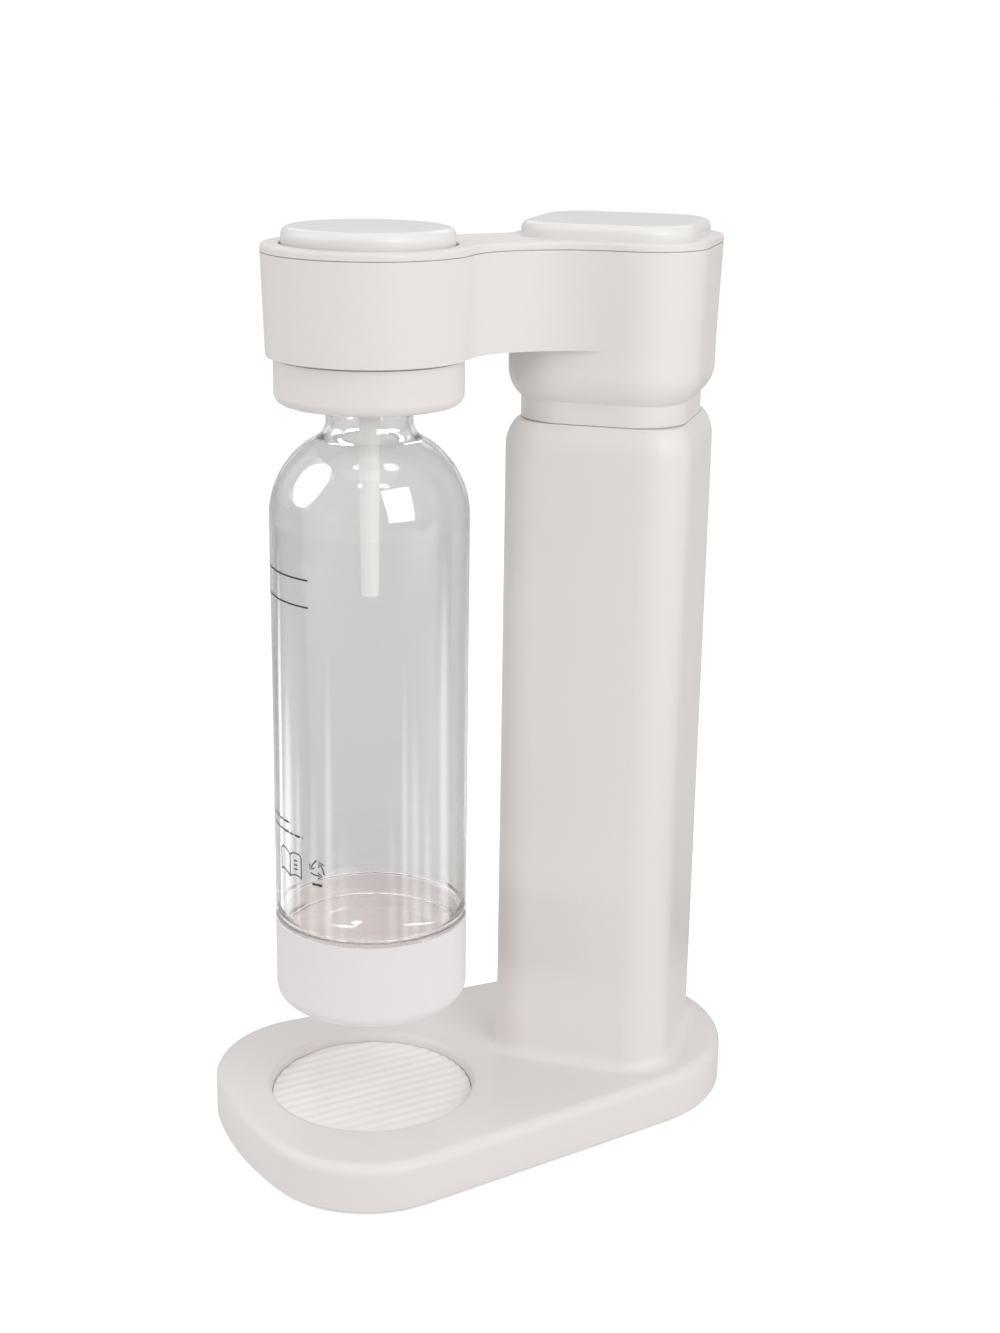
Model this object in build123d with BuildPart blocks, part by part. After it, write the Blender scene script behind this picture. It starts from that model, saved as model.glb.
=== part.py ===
from build123d import *
from math import atan2, cos, degrees, pi, radians, sin, sqrt
import os

# Soda carbonator: a head on a column over a flat base, with a bottle hanging from the head.
# Units are millimetres. +Z is up, the bottle stands at -Y and the column at +Y.
os.makedirs("parts", exist_ok=True)

# ---- heights above the table ----
FOOT_H = 0.8
BASE_TOP = 24.0
CUP_BOTTOM = 71.0
SEAM = 112.0
NECK_LINE = 335.8
COLLAR_BOTTOM = 349.4
HEAD_BOTTOM = 370.0
PARTING = 413.4
PLATE_TOP = 417.0
BUTTON_TOP = 424.0
CAP_TOP = 423.6

# ---- plan ----
BOTTLE_Y = -59.5
COLUMN_Y = 64.0
WALL = 2.5
GAP = 0.3
TURN = 45  # the rounded-square column stands corner-first towards the bottle

# base outline
FRONT_Y = -127.5
FRONT_R = 172.0
FRONT_HALF = 80.6
FRONT_CORNER = 51.0
REAR_R = 66.5
REAR_Y = 127.5 - REAR_R
BASE_WALL = 3.0
BASE_ROOF = 3.5
RECESS_R = 47.6
RECESS_FLOOR = 16.2
PAN_BOTTOM = 13.9
PAN_WALL = 2.8
BASE_EDGE_R = 5.0
BASE_FOOT_R = 1.2
RECESS_EDGE_R = 2.4
FOOT_R = 7.0
FOOT_SEAT = 1.2  # how deep the feet and screw heads sink into the bottom cover

# column and head outline
COLUMN_SIDE = 85.8
COLUMN_CORNER = 18.7
COLUMN_FOOT_R = 6.0
SHOULDER_R = 18.0
NECK_SIDE = 76.6
NECK_CORNER = 23.4
SHOULDER_RISE = SHOULDER_R - sqrt(SHOULDER_R**2 - (SHOULDER_R - (COLUMN_SIDE - NECK_SIDE) / 2) ** 2)
SLOT_H = 0.4  # height of the fine shadow line where two mouldings meet
SLOT_DEPTH = 1.0
NOSE_R = 45.8
REAR_SIDE = 91.0
REAR_CORNER = 29.3
WAIST_HALF = 22.0
NOSE_BLEND = 36.0
REAR_BLEND = 54.0
LEAN = 1.5  # how far the head walls draw in between the parting line and the underside
BOWL_R = 16.0
BOWL_BOTTOM = 342.2
SPIGOT_H = 4.0  # low step on the column that centres the neck
COLLAR_GAP = 1.2  # shadow gap between the head and the collar
HEAD_MOUTH_R = 24.5
FLOOR_TOP = HEAD_BOTTOM + 3.0
CAVITY_SIDE = REAR_SIDE - 2 * LEAN - 6.0

# button and rear cap
BUTTON_R = 37.0
BUTTON_WELL_R = 38.0
BUTTON_STROKE = 5.0
CAP_SIDE = 78.5
CAP_CORNER = 23.0
GUIDE_R = 40.0
GUIDE_FLOOR = 401.5
SPRING_SEAT = 404.0
SPRING_R = 11.0
SPRING_WIRE = 0.8
PLUNGER_R = 6.0
CAP_EDGE_R = 3.6
CAP_WALL = 2.2
PEG_R = 2.4

# lever and valve
PIVOT_Y = 100.0
PIVOT_Z = 398.2
PIN_R = 2.0
RUN = 0.05
LEVER_LOW = 396.4
LEVER_HIGH = 400.0
LEVER_HALF = 6.0
VALVE_R = 17.0
VALVE_LOW = 360.0
VALVE_HIGH = 390.0
SOCKET_TOP = 372.4
HOSE_Z = 383.0
HOSE_R = 2.5
HOSE_BORE_R = 1.3
STUB_R = 3.6
PORT_RISE = 4.0  # how far the valve's outlet lies above the nozzle's inlet

# gas cylinder
CYLINDER_R = 30.0
CYLINDER_LOW = 12.0
CYLINDER_SHOULDER = 306.0
CYLINDER_WALL = 3.0
SHOULDER_BEND = 17.0
CYLINDER_NECK_R = 12.5
CYLINDER_NECK_H = 24.0
VALVE_BODY_H = 18.0
THREAD_R = 10.5
WASHER_T = 1.3

# bottle, cup and collar
BOTTLE_R = 44.0
BOTTLE_WALL = 1.4
DOME_Z = 300.0
DOME_R = 39.0
BOTTLE_NECK_R = 19.0
BOTTLE_BORE_R = 16.5
BOTTLE_TOP = 366.0
BOTTLE_FLOOR = 103.5
CUP_R = 44.2
CUP_EDGE_R = 7.0
COLLAR_R = 41.1
COLLAR_EDGE_R = 4.5
WAND_LOW = 262.5
WAND_BORE_R = 1.5
WAND_R = 5.0
WAND_TIP_R = 3.9

SCREW_R = 1.5
SCREW_HOLE_R = 1.6
HEAD_R = 2.9


def save(part, name):
    """Label one finished piece and write it as its own file."""
    part.label = name
    export_step(part, f"parts/{name}.step")


def ring_spots(radius, count, start, y):
    """Evenly spaced points on a circle round a vertical axis at the given y."""
    steps = [radians(start + 360 * i / count) for i in range(count)]
    return [(radius * cos(a), y + radius * sin(a)) for a in steps]


def rear_square(side, corner):
    """Rounded square over the column, turned corner-first."""
    with Locations((0, COLUMN_Y)):
        RectangleRounded(side, side, corner, rotation=TURN)


def base_plan(sketch, inset):
    """Foot outline: slightly bowed front, big front corners, tapering sides, round rear."""
    corner_y = FRONT_Y + FRONT_R - sqrt(FRONT_R**2 - FRONT_HALF**2)
    reach = sqrt(FRONT_HALF**2 + (REAR_Y - corner_y) ** 2)
    swing = atan2(corner_y - REAR_Y, FRONT_HALF) + atan2(sqrt(reach**2 - REAR_R**2), REAR_R)
    tangent = (REAR_R * cos(swing), REAR_Y + REAR_R * sin(swing))
    with BuildLine() as outline:
        ThreePointArc((-FRONT_HALF, corner_y), (0, FRONT_Y), (FRONT_HALF, corner_y))
        Line((FRONT_HALF, corner_y), tangent)
        ThreePointArc(tangent, (0, REAR_Y + REAR_R), (-tangent[0], tangent[1]))
        Line((-tangent[0], tangent[1]), (-FRONT_HALF, corner_y))
    make_face(outline.edges())
    fillet(sketch.vertices().group_by(Axis.Y)[0], FRONT_CORNER)
    if inset:
        offset(amount=-inset, mode=Mode.REPLACE)


def head_plan(sketch, inset):
    """Keyhole outline: round nose over the bottle, waist, rounded-square rear."""
    half = WAIST_HALF - inset
    with Locations((0, BOTTLE_Y)):
        Circle(NOSE_R - inset)
    rear_square(REAR_SIDE - 2 * inset, REAR_CORNER - inset)
    with Locations((0, (BOTTLE_Y + COLUMN_Y) / 2)):
        Rectangle(2 * half, COLUMN_Y - BOTTLE_Y)
    inner = [v for v in sketch.vertices() if abs(abs(v.X) - half) < 0.01]
    middle = (BOTTLE_Y + COLUMN_Y) / 2
    fillet([v for v in inner if v.Y < middle], NOSE_BLEND + inset)
    inner = [v for v in sketch.vertices() if abs(abs(v.X) - half) < 0.01]
    fillet([v for v in inner if v.Y == max(w.Y for w in inner)], REAR_BLEND + inset)


# ---- body shell: the flat base and the hollow column in one moulding ----
COVER_SPOTS = [(-40, -100), (40, -100), (-60, -30), (60, -30), (-57, 10), (57, 10), (-34, 106), (34, 106)]
FOOT_SPOTS = [(-55, -78), (55, -78), (-50, 58), (50, 58), (0, 113)]
NECK_SPOTS = ring_spots(38.5, 4, 0, COLUMN_Y)
BOSS_R = 4.0
COLUMN_CEILING = NECK_LINE - 4

with BuildPart() as body_shell:
    with BuildSketch(Plane.XY.offset(FOOT_H)) as plan:
        base_plan(plan, 0)
    extrude(amount=BASE_TOP - FOOT_H)
    fillet(body_shell.edges().group_by(Axis.Z)[-1], BASE_EDGE_R)
    fillet(body_shell.edges().group_by(Axis.Z)[0], BASE_FOOT_R)
    with BuildSketch(Plane.XY.offset(BASE_TOP - 1)):
        rear_square(COLUMN_SIDE, COLUMN_CORNER)
    extrude(amount=NECK_LINE + SHOULDER_RISE - BASE_TOP + 1)
    fillet(body_shell.edges().group_by(Axis.Z)[-1], SHOULDER_R)
    foot_edges = body_shell.edges().filter_by_position(Axis.Z, BASE_TOP - 0.01, BASE_TOP + 0.01)
    near_column = [e for e in foot_edges if (e.center() - Vector(0, COLUMN_Y, BASE_TOP)).length < 55]
    fillet([e for e in near_column if e.length < 60], COLUMN_FOOT_R)
    # flat top that carries the head, with a low spigot that centres the neck
    with BuildSketch(Plane.XY.offset(NECK_LINE)):
        rear_square(COLUMN_SIDE + 4, COLUMN_CORNER)
    extrude(amount=10, mode=Mode.SUBTRACT)
    with BuildSketch(Plane.XY.offset(NECK_LINE)):
        rear_square(NECK_SIDE - 2 * WALL - 2 * GAP, NECK_CORNER - WALL)
    extrude(amount=SPIGOT_H)
    # hollow base
    with BuildSketch(Plane.XY) as plan:
        base_plan(plan, BASE_WALL)
    extrude(amount=BASE_TOP - BASE_ROOF, mode=Mode.SUBTRACT)
    # drip recess and its pan
    with BuildSketch(Plane.XY.offset(PAN_BOTTOM)):
        with Locations((0, BOTTLE_Y)):
            Circle(RECESS_R + PAN_WALL)
    extrude(amount=BASE_TOP - BASE_ROOF + 1 - PAN_BOTTOM)
    with BuildSketch(Plane.XY.offset(RECESS_FLOOR)):
        with Locations((0, BOTTLE_Y)):
            Circle(RECESS_R)
    extrude(amount=BASE_TOP, mode=Mode.SUBTRACT)
    rim = body_shell.edges().filter_by(GeomType.CIRCLE)
    fillet([e for e in rim if abs(e.radius - RECESS_R) < 0.01 and abs(e.center().Z - BASE_TOP) < 0.01], RECESS_EDGE_R)
    # column cavity, and the round way through its top for the gas cylinder
    with BuildSketch(Plane.XY):
        rear_square(COLUMN_SIDE - 2 * WALL, COLUMN_CORNER - WALL)
    extrude(amount=COLUMN_CEILING, mode=Mode.SUBTRACT)
    ceiling = body_shell.edges().filter_by_position(Axis.Z, COLUMN_CEILING - 0.01, COLUMN_CEILING + 0.01)
    fillet(ceiling, 8)
    with BuildSketch(Plane.XY.offset(NECK_LINE - 20)):
        with Locations((0, COLUMN_Y)):
            Circle(CYLINDER_R + 1.5)
    extrude(amount=40, mode=Mode.SUBTRACT)
    # screw bosses for the bottom cover
    with BuildSketch(Plane.XY.offset(FOOT_H + WALL)):
        with Locations(*COVER_SPOTS):
            Circle(BOSS_R)
    extrude(amount=BASE_TOP - BASE_ROOF - FOOT_H - WALL)
    with BuildSketch(Plane.XY):
        with Locations(*COVER_SPOTS):
            Circle(SCREW_HOLE_R)
    extrude(amount=FOOT_H + WALL + 11, mode=Mode.SUBTRACT)
    with BuildSketch(Plane.XY.offset(NECK_LINE - 20)):
        with Locations(*NECK_SPOTS):
            Circle(SCREW_HOLE_R)
    extrude(amount=40, mode=Mode.SUBTRACT)
save(body_shell.part, "body_shell")

# ---- bottom cover with the round access hole for the cylinder ----
DOOR_R = 34.5
LUG_R = 38.0
LUG_SWEEP = 30
COVER_TOP = FOOT_H + WALL


def pie_ring(inner, outer, start, sweep):
    """Three equal ring sectors round the column axis."""
    for k in range(3):
        a0 = radians(start + 120 * k)
        a1 = radians(start + 120 * k + sweep)
        am = (a0 + a1) / 2
        rim = [(outer * cos(a), COLUMN_Y + outer * sin(a)) for a in (a0, am, a1)]
        hub = [(inner * cos(a), COLUMN_Y + inner * sin(a)) for a in (a0, am, a1)]
        with BuildLine() as sector:
            ThreePointArc(*rim)
            Line(rim[2], hub[2])
            ThreePointArc(*reversed(hub))
            Line(hub[0], rim[0])
        make_face(sector.edges())


with BuildPart() as base_cover:
    with BuildSketch(Plane.XY.offset(FOOT_H)) as plan:
        base_plan(plan, BASE_WALL + GAP)
    extrude(amount=WALL)
    with BuildSketch(Plane.XY):
        with Locations((0, COLUMN_Y)):
            Circle(DOOR_R + 0.4)
        pie_ring(DOOR_R - 1, LUG_R + 0.5, 60, LUG_SWEEP + 8)
        with Locations(*COVER_SPOTS):
            Circle(SCREW_HOLE_R)
    extrude(amount=10, mode=Mode.SUBTRACT)
    with BuildSketch(Plane.XY):
        with Locations(*FOOT_SPOTS):
            Circle(FOOT_R + 0.2)
        with Locations(*COVER_SPOTS):
            Circle(HEAD_R + 0.3)
    extrude(amount=FOOT_H + FOOT_SEAT, mode=Mode.SUBTRACT)
save(base_cover.part, "base_cover")

with BuildPart() as cylinder_door:
    with BuildSketch(Plane.XY.offset(FOOT_H)):
        with Locations((0, COLUMN_Y)):
            Circle(DOOR_R)
    extrude(amount=COVER_TOP + 2.3 - FOOT_H)
    with BuildSketch(Plane.XY.offset(COVER_TOP + GAP)):
        pie_ring(DOOR_R - 1, LUG_R, 0, LUG_SWEEP)
    extrude(amount=2)
    # finger pocket with a grip bar across it
    with BuildSketch(Plane.XY):
        with Locations((0, COLUMN_Y)):
            Circle(16)
            Rectangle(5, 40, mode=Mode.SUBTRACT)
    extrude(amount=FOOT_H + 3.2, mode=Mode.SUBTRACT)
save(cylinder_door.part, "cylinder_door")

with BuildPart() as feet:
    with BuildSketch(Plane.XY):
        with Locations(*FOOT_SPOTS):
            Circle(FOOT_R)
    extrude(amount=FOOT_H + FOOT_SEAT - 0.1)
    fillet(feet.edges().group_by(Axis.Z)[0], 0.6)
save(feet.part, "feet")


def screws(spots, seat, length, head_h, up):
    """Pan-head screws standing on a seat height; the shank runs up or down from it."""
    way = 1 if up else -1
    with BuildPart() as group:
        with BuildSketch(Plane.XY.offset(seat)):
            with Locations(*spots):
                Circle(HEAD_R)
        extrude(amount=-way * head_h)
        with BuildSketch(Plane.XY.offset(seat)):
            with Locations(*spots):
                Circle(SCREW_R)
        extrude(amount=way * length)
        with BuildSketch(Plane.XY.offset(seat - way * head_h)):
            with Locations(*spots):
                Rectangle(3, 0.8)
                Rectangle(0.8, 3)
        extrude(amount=way * 0.6, mode=Mode.SUBTRACT)
    return group.part


save(screws(COVER_SPOTS, FOOT_H + FOOT_SEAT, 11, 1.1, True), "base_screws")

# ---- drip disc: a round insert with straight ribs ----
RIB_PITCH = 6.0
RIB_COUNT = 15
RIB_W = 2.6
RIB_H = 0.8
DISC_R = RECESS_R - 0.4
DISC_T = 1.8
with BuildPart() as drip_disc:
    with BuildSketch(Plane.XY.offset(RECESS_FLOOR + 0.1)):
        with Locations((0, BOTTLE_Y)):
            Circle(DISC_R)
    extrude(amount=DISC_T)
    with BuildSketch(Plane.XY.offset(RECESS_FLOOR + DISC_T - 0.2)):
        with Locations((0, BOTTLE_Y)):
            with GridLocations(RIB_PITCH, 0, RIB_COUNT, 1):
                Rectangle(RIB_W, 2 * DISC_R)
            Circle(DISC_R, mode=Mode.INTERSECT)
    extrude(amount=RIB_H + 0.3)
save(drip_disc.part, "drip_disc")

# ---- guide tube that stands the cylinder up inside the column ----
with BuildPart() as cylinder_guide:
    with BuildSketch(Plane.XY.offset(BASE_TOP + 2)):
        with Locations((0, COLUMN_Y)):
            Circle(CYLINDER_R + 2.6)
    extrude(amount=292)
    for height in (BASE_TOP + 2, 166, BASE_TOP + 291):
        with BuildSketch(Plane.XY.offset(height)):
            rear_square(COLUMN_SIDE - 2 * WALL - 2 * GAP, COLUMN_CORNER - WALL)
        extrude(amount=3)
    with BuildSketch(Plane.XY.offset(BASE_TOP)):
        with Locations((0, COLUMN_Y)):
            Circle(CYLINDER_R + 0.8)
    extrude(amount=300, mode=Mode.SUBTRACT)
    # long windows that lighten the tube
    for low in (BASE_TOP + 20, 184):
        with BuildSketch(Plane.XZ.offset(-COLUMN_Y - 60)):
            with Locations((0, low + 58)):
                SlotOverall(110, 24, rotation=90)
        extrude(amount=120, mode=Mode.SUBTRACT)
save(cylinder_guide.part, "cylinder_guide")

# ---- head body: drafted keyhole shell that flows into a bowl and a neck at the rear ----
COLLAR_SPOTS = ring_spots(34.0, 4, 0, BOTTLE_Y)
GUIDE_SPOTS = ring_spots(33.5, 4, 45, BOTTLE_Y)
FRAME_SPOTS = ring_spots(37.4, 4, 45, COLUMN_Y)

with BuildPart() as head_body:
    with BuildSketch(Plane.XY.offset(HEAD_BOTTOM)) as low:
        head_plan(low, LEAN)
    with BuildSketch(Plane.XY.offset(PARTING)) as high:
        head_plan(high, 0)
    loft(ruled=True)
    with BuildSketch(Plane.XY.offset(HEAD_BOTTOM + 4)) as plan:
        rear_square(CAVITY_SIDE + 6, REAR_CORNER - 1.5)
    extrude(amount=BOWL_BOTTOM - HEAD_BOTTOM - 4)
    fillet(head_body.edges().group_by(Axis.Z)[0], BOWL_R)
    with BuildSketch(Plane.XY.offset(NECK_LINE + SLOT_H)):
        rear_square(NECK_SIDE, NECK_CORNER)
    extrude(amount=BOWL_BOTTOM + 4 - NECK_LINE - SLOT_H)
    with BuildSketch(Plane.XY.offset(NECK_LINE)):
        rear_square(NECK_SIDE - 2 * SLOT_DEPTH, NECK_CORNER - SLOT_DEPTH)
    extrude(amount=SLOT_H)
    # inside of the shell
    with BuildSketch(Plane.XY.offset(FLOOR_TOP)) as low:
        head_plan(low, WALL + LEAN)
    with BuildSketch(Plane.XY.offset(PARTING)) as high:
        head_plan(high, WALL)
    loft(ruled=True, mode=Mode.SUBTRACT)
    with BuildSketch(Plane.XY.offset(NECK_LINE)):
        rear_square(NECK_SIDE - 2 * WALL, NECK_CORNER - WALL)
    extrude(amount=HEAD_BOTTOM - NECK_LINE, mode=Mode.SUBTRACT)
    with BuildSketch(Plane.XY.offset(BOWL_BOTTOM + 13)):
        rear_square(CAVITY_SIDE, REAR_CORNER - 4.5)
    extrude(amount=HEAD_BOTTOM + 5 - BOWL_BOTTOM - 13, mode=Mode.SUBTRACT)
    # way down to the bottle
    with BuildSketch(Plane.XY.offset(HEAD_BOTTOM)):
        with Locations((0, BOTTLE_Y)):
            Circle(HEAD_MOUTH_R)
        with Locations(*COLLAR_SPOTS):
            Circle(SCREW_HOLE_R)
    extrude(amount=5, mode=Mode.SUBTRACT)
    # posts for the button guide
    with BuildSketch(Plane.XY.offset(FLOOR_TOP)):
        with Locations(*GUIDE_SPOTS):
            Circle(BOSS_R)
    extrude(amount=GUIDE_FLOOR - FLOOR_TOP)
    with BuildSketch(Plane.XY.offset(GUIDE_FLOOR)):
        with Locations(*GUIDE_SPOTS):
            Circle(SCREW_HOLE_R)
    extrude(amount=-10, mode=Mode.SUBTRACT)
    # ledges for the valve frame, and lugs that take the screws from the column
    with BuildSketch(Plane.XY.offset(BOWL_BOTTOM + 9)):
        with Locations(*FRAME_SPOTS):
            Circle(BOSS_R)
    extrude(amount=FLOOR_TOP + 1 - BOWL_BOTTOM - 9)
    with BuildSketch(Plane.XY.offset(FLOOR_TOP + 1)):
        with Locations(*FRAME_SPOTS):
            Circle(SCREW_HOLE_R)
    extrude(amount=-9, mode=Mode.SUBTRACT)
    with BuildSketch(Plane.XY.offset(NECK_LINE + SPIGOT_H + GAP)):
        with Locations(*NECK_SPOTS):
            Circle(BOSS_R)
    extrude(amount=12)
    with BuildSketch(Plane.XY.offset(NECK_LINE)):
        with Locations(*NECK_SPOTS):
            Circle(SCREW_HOLE_R)
    extrude(amount=12, mode=Mode.SUBTRACT)
save(head_body.part, "head_body")

save(screws(NECK_SPOTS, COLUMN_CEILING, 14, 2, True), "neck_screws")

# ---- top plate, button guide, button and rear cap ----
CAP_PEGS = ring_spots(26.0, 4, 0, COLUMN_Y)
with BuildPart() as head_plate:
    with BuildSketch(Plane.XY.offset(PARTING + SLOT_H)) as plan:
        head_plan(plan, 0)
    extrude(amount=PLATE_TOP - PARTING - SLOT_H)
    fillet(head_plate.edges().group_by(Axis.Z)[-1], 1.4)
    with BuildSketch(Plane.XY.offset(PARTING)) as plan:
        head_plan(plan, SLOT_DEPTH)
    extrude(amount=SLOT_H)
    with BuildSketch(Plane.XY.offset(PARTING)) as plan:
        head_plan(plan, WALL + GAP)
    extrude(amount=-4)
    with BuildSketch(Plane.XY.offset(PARTING)) as plan:
        head_plan(plan, WALL + GAP + 1.5)
    extrude(amount=-5, mode=Mode.SUBTRACT)
    with BuildSketch(Plane.XY.offset(PARTING - 1)):
        with Locations((0, BOTTLE_Y)):
            Circle(BUTTON_WELL_R)
        with Locations(*CAP_PEGS):
            Circle(PEG_R + 0.2)
    extrude(amount=10, mode=Mode.SUBTRACT)
    well = head_plate.edges().filter_by(GeomType.CIRCLE)
    fillet([e for e in well if abs(e.radius - BUTTON_WELL_R) < 0.01 and e.center().Z > PLATE_TOP - 0.1], 0.5)
save(head_plate.part, "head_plate")

with BuildPart() as button_guide:
    with BuildSketch(Plane.XY.offset(GUIDE_FLOOR)):
        with Locations((0, BOTTLE_Y)):
            Circle(GUIDE_R)
    extrude(amount=PARTING - GUIDE_FLOOR)
    with BuildSketch(Plane.XY.offset(SPRING_SEAT)):
        with Locations((0, BOTTLE_Y)):
            Circle(BUTTON_WELL_R)
    extrude(amount=20, mode=Mode.SUBTRACT)
    with BuildSketch(Plane.XY.offset(GUIDE_FLOOR - 1)):
        with Locations((0, BOTTLE_Y)):
            Circle(PLUNGER_R + 0.4)
        with Locations(*GUIDE_SPOTS):
            Circle(SCREW_HOLE_R)
    extrude(amount=10, mode=Mode.SUBTRACT)
save(button_guide.part, "button_guide")

save(screws(GUIDE_SPOTS, SPRING_SEAT, 11, 1.4, False), "guide_screws")

with BuildPart() as button:
    with BuildSketch(Plane.XY.offset(PARTING - 2)):
        with Locations((0, BOTTLE_Y)):
            Circle(BUTTON_R)
    extrude(amount=BUTTON_TOP - PARTING + 2)
    fillet(button.edges().group_by(Axis.Z)[-1], CAP_EDGE_R)
    with BuildSketch(Plane.XY.offset(PARTING - 2)):
        with Locations((0, BOTTLE_Y)):
            Circle(BUTTON_R - CAP_WALL)
    extrude(amount=BUTTON_TOP - PARTING - 0.8, mode=Mode.SUBTRACT)
    with BuildSketch(Plane.XY.offset(LEVER_HIGH + GAP)):
        with Locations((0, BOTTLE_Y)):
            Circle(PLUNGER_R)
    extrude(amount=BUTTON_TOP - 2 - LEVER_HIGH - GAP)
save(button.part, "button")

SPRING_TOP = BUTTON_TOP - 2.8
with BuildPart() as button_spring:
    spring_low = SPRING_SEAT + SPRING_WIRE
    spring_h = SPRING_TOP - SPRING_WIRE - spring_low
    with BuildLine() as coil:
        Helix(pitch=spring_h / 4, height=spring_h, radius=SPRING_R, center=(0, BOTTLE_Y, spring_low))
    with BuildSketch(Plane(origin=coil.line @ 0, z_dir=coil.line % 0)):
        Circle(SPRING_WIRE)
    sweep(is_frenet=True)
save(button_spring.part, "button_spring")

with BuildPart() as rear_cap:
    with BuildSketch(Plane.XY.offset(PLATE_TOP)):
        rear_square(CAP_SIDE, CAP_CORNER)
    extrude(amount=CAP_TOP - PLATE_TOP)
    fillet(rear_cap.edges().group_by(Axis.Z)[-1], CAP_EDGE_R)
    with BuildSketch(Plane.XY.offset(PLATE_TOP)):
        rear_square(CAP_SIDE - 2 * WALL, CAP_CORNER - WALL)
    extrude(amount=CAP_TOP - PLATE_TOP - WALL, mode=Mode.SUBTRACT)
    with BuildSketch(Plane.XY.offset(PARTING - 2)):
        with Locations(*CAP_PEGS):
            Circle(PEG_R)
    extrude(amount=CAP_TOP - PARTING)
save(rear_cap.part, "rear_cap")

# ---- valve frame, valve block and lever ----
EAR_IN = 7.0
EAR_T = 3.0
FRAME_LOW = FLOOR_TOP + 1
FRAME_HIGH = FRAME_LOW + 3
with BuildPart() as valve_frame:
    with BuildSketch(Plane.XY.offset(FRAME_LOW)):
        rear_square(81, 30)
        with Locations((0, COLUMN_Y)):
            Circle(VALVE_R + GAP, mode=Mode.SUBTRACT)
        with Locations(*FRAME_SPOTS):
            Circle(SCREW_HOLE_R, mode=Mode.SUBTRACT)
    extrude(amount=FRAME_HIGH - FRAME_LOW)
    for side in (-1, 1):
        with BuildSketch(Plane.YZ.offset(side * (EAR_IN + EAR_T / 2))):
            with Locations((PIVOT_Y, (FRAME_LOW + 1 + PIVOT_Z) / 2)):
                Rectangle(12, PIVOT_Z - FRAME_LOW - 1)
            with Locations((PIVOT_Y, PIVOT_Z)):
                Circle(6)
                Circle(PIN_R + RUN, mode=Mode.SUBTRACT)
        extrude(amount=EAR_T / 2, both=True)
save(valve_frame.part, "valve_frame")

save(screws(FRAME_SPOTS, FRAME_HIGH, 9, 2, False), "frame_screws")

with BuildPart() as pivot_pin:
    with BuildSketch(Plane.YZ.offset(-EAR_IN - EAR_T - 1)):
        with Locations((PIVOT_Y, PIVOT_Z)):
            Circle(PIN_R)
    extrude(amount=2 * (EAR_IN + EAR_T + 1))
    with BuildSketch(Plane.YZ.offset(EAR_IN + EAR_T + 0.1)):
        with Locations((PIVOT_Y, PIVOT_Z)):
            Circle(PIN_R + 1.5)
    extrude(amount=1.5)
save(pivot_pin.part, "pivot_pin")

LEVER_TIP = BOTTLE_Y - 8
with BuildPart() as lever:
    with BuildSketch(Plane.XY.offset(LEVER_LOW)):
        with Locations((0, (LEVER_TIP + PIVOT_Y) / 2)):
            SlotOverall(PIVOT_Y - LEVER_TIP, 2 * LEVER_HALF, rotation=90)
    extrude(amount=LEVER_HIGH - LEVER_LOW)
    with BuildSketch(Plane.YZ.offset(-LEVER_HALF)):
        with Locations((PIVOT_Y, PIVOT_Z)):
            Circle(5)
    extrude(amount=2 * LEVER_HALF)
    with BuildSketch(Plane.YZ.offset(-LEVER_HALF - 1)):
        with Locations((PIVOT_Y, PIVOT_Z)):
            Circle(PIN_R + RUN)
    extrude(amount=2 * LEVER_HALF + 2, mode=Mode.SUBTRACT)
    # two stiffening flanges along the sides
    for side in (-1, 1):
        with BuildSketch(Plane.YZ.offset(side * (LEVER_HALF - 0.75))):
            with Locations((10, LEVER_LOW - 1)):
                Rectangle(70, 3)
        extrude(amount=0.75, both=True)
save(lever.part, "lever")

with BuildPart() as valve_block:
    with BuildSketch(Plane.XY.offset(VALVE_LOW)):
        with Locations((0, COLUMN_Y)):
            Circle(VALVE_R)
    extrude(amount=VALVE_HIGH - VALVE_LOW)
    with BuildSketch(Plane.XY.offset(FRAME_HIGH)):
        with Locations((0, COLUMN_Y)):
            RegularPolygon(VALVE_R + 4, 6)
    extrude(amount=5)
    chamfer(valve_block.edges().group_by(Axis.Z)[-1], 1)
    with BuildSketch(Plane.XZ.offset(-COLUMN_Y)):
        with Locations((0, HOSE_Z + PORT_RISE)):
            Circle(STUB_R)
    extrude(amount=VALVE_R + 5)
    with BuildSketch(Plane.XY.offset(VALVE_LOW)):
        with Locations((0, COLUMN_Y)):
            Circle(THREAD_R + RUN)
    extrude(amount=SOCKET_TOP - VALVE_LOW, mode=Mode.SUBTRACT)
    with BuildSketch(Plane.XY.offset(VALVE_LOW)):
        with Locations((0, COLUMN_Y)):
            Circle(PIN_R + RUN)
    extrude(amount=40, mode=Mode.SUBTRACT)
    with BuildSketch(Plane.XZ.offset(-COLUMN_Y + PIN_R + 3)):
        with Locations((0, HOSE_Z + PORT_RISE)):
            Circle(1.2)
    extrude(amount=40, mode=Mode.SUBTRACT)
save(valve_block.part, "valve_block")

with BuildPart() as valve_pin:
    with BuildSketch(Plane.XY.offset(SOCKET_TOP - 0.6)):
        with Locations((0, COLUMN_Y)):
            Circle(PIN_R)
    extrude(amount=LEVER_LOW - GAP - SOCKET_TOP + 0.6)
    with BuildSketch(Plane.XY.offset(LEVER_LOW - GAP - 2.5)):
        with Locations((0, COLUMN_Y)):
            Circle(3.6)
    extrude(amount=2.5)
    fillet(valve_pin.edges().group_by(Axis.Z)[-1], 1)
save(valve_pin.part, "valve_pin")

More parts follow.
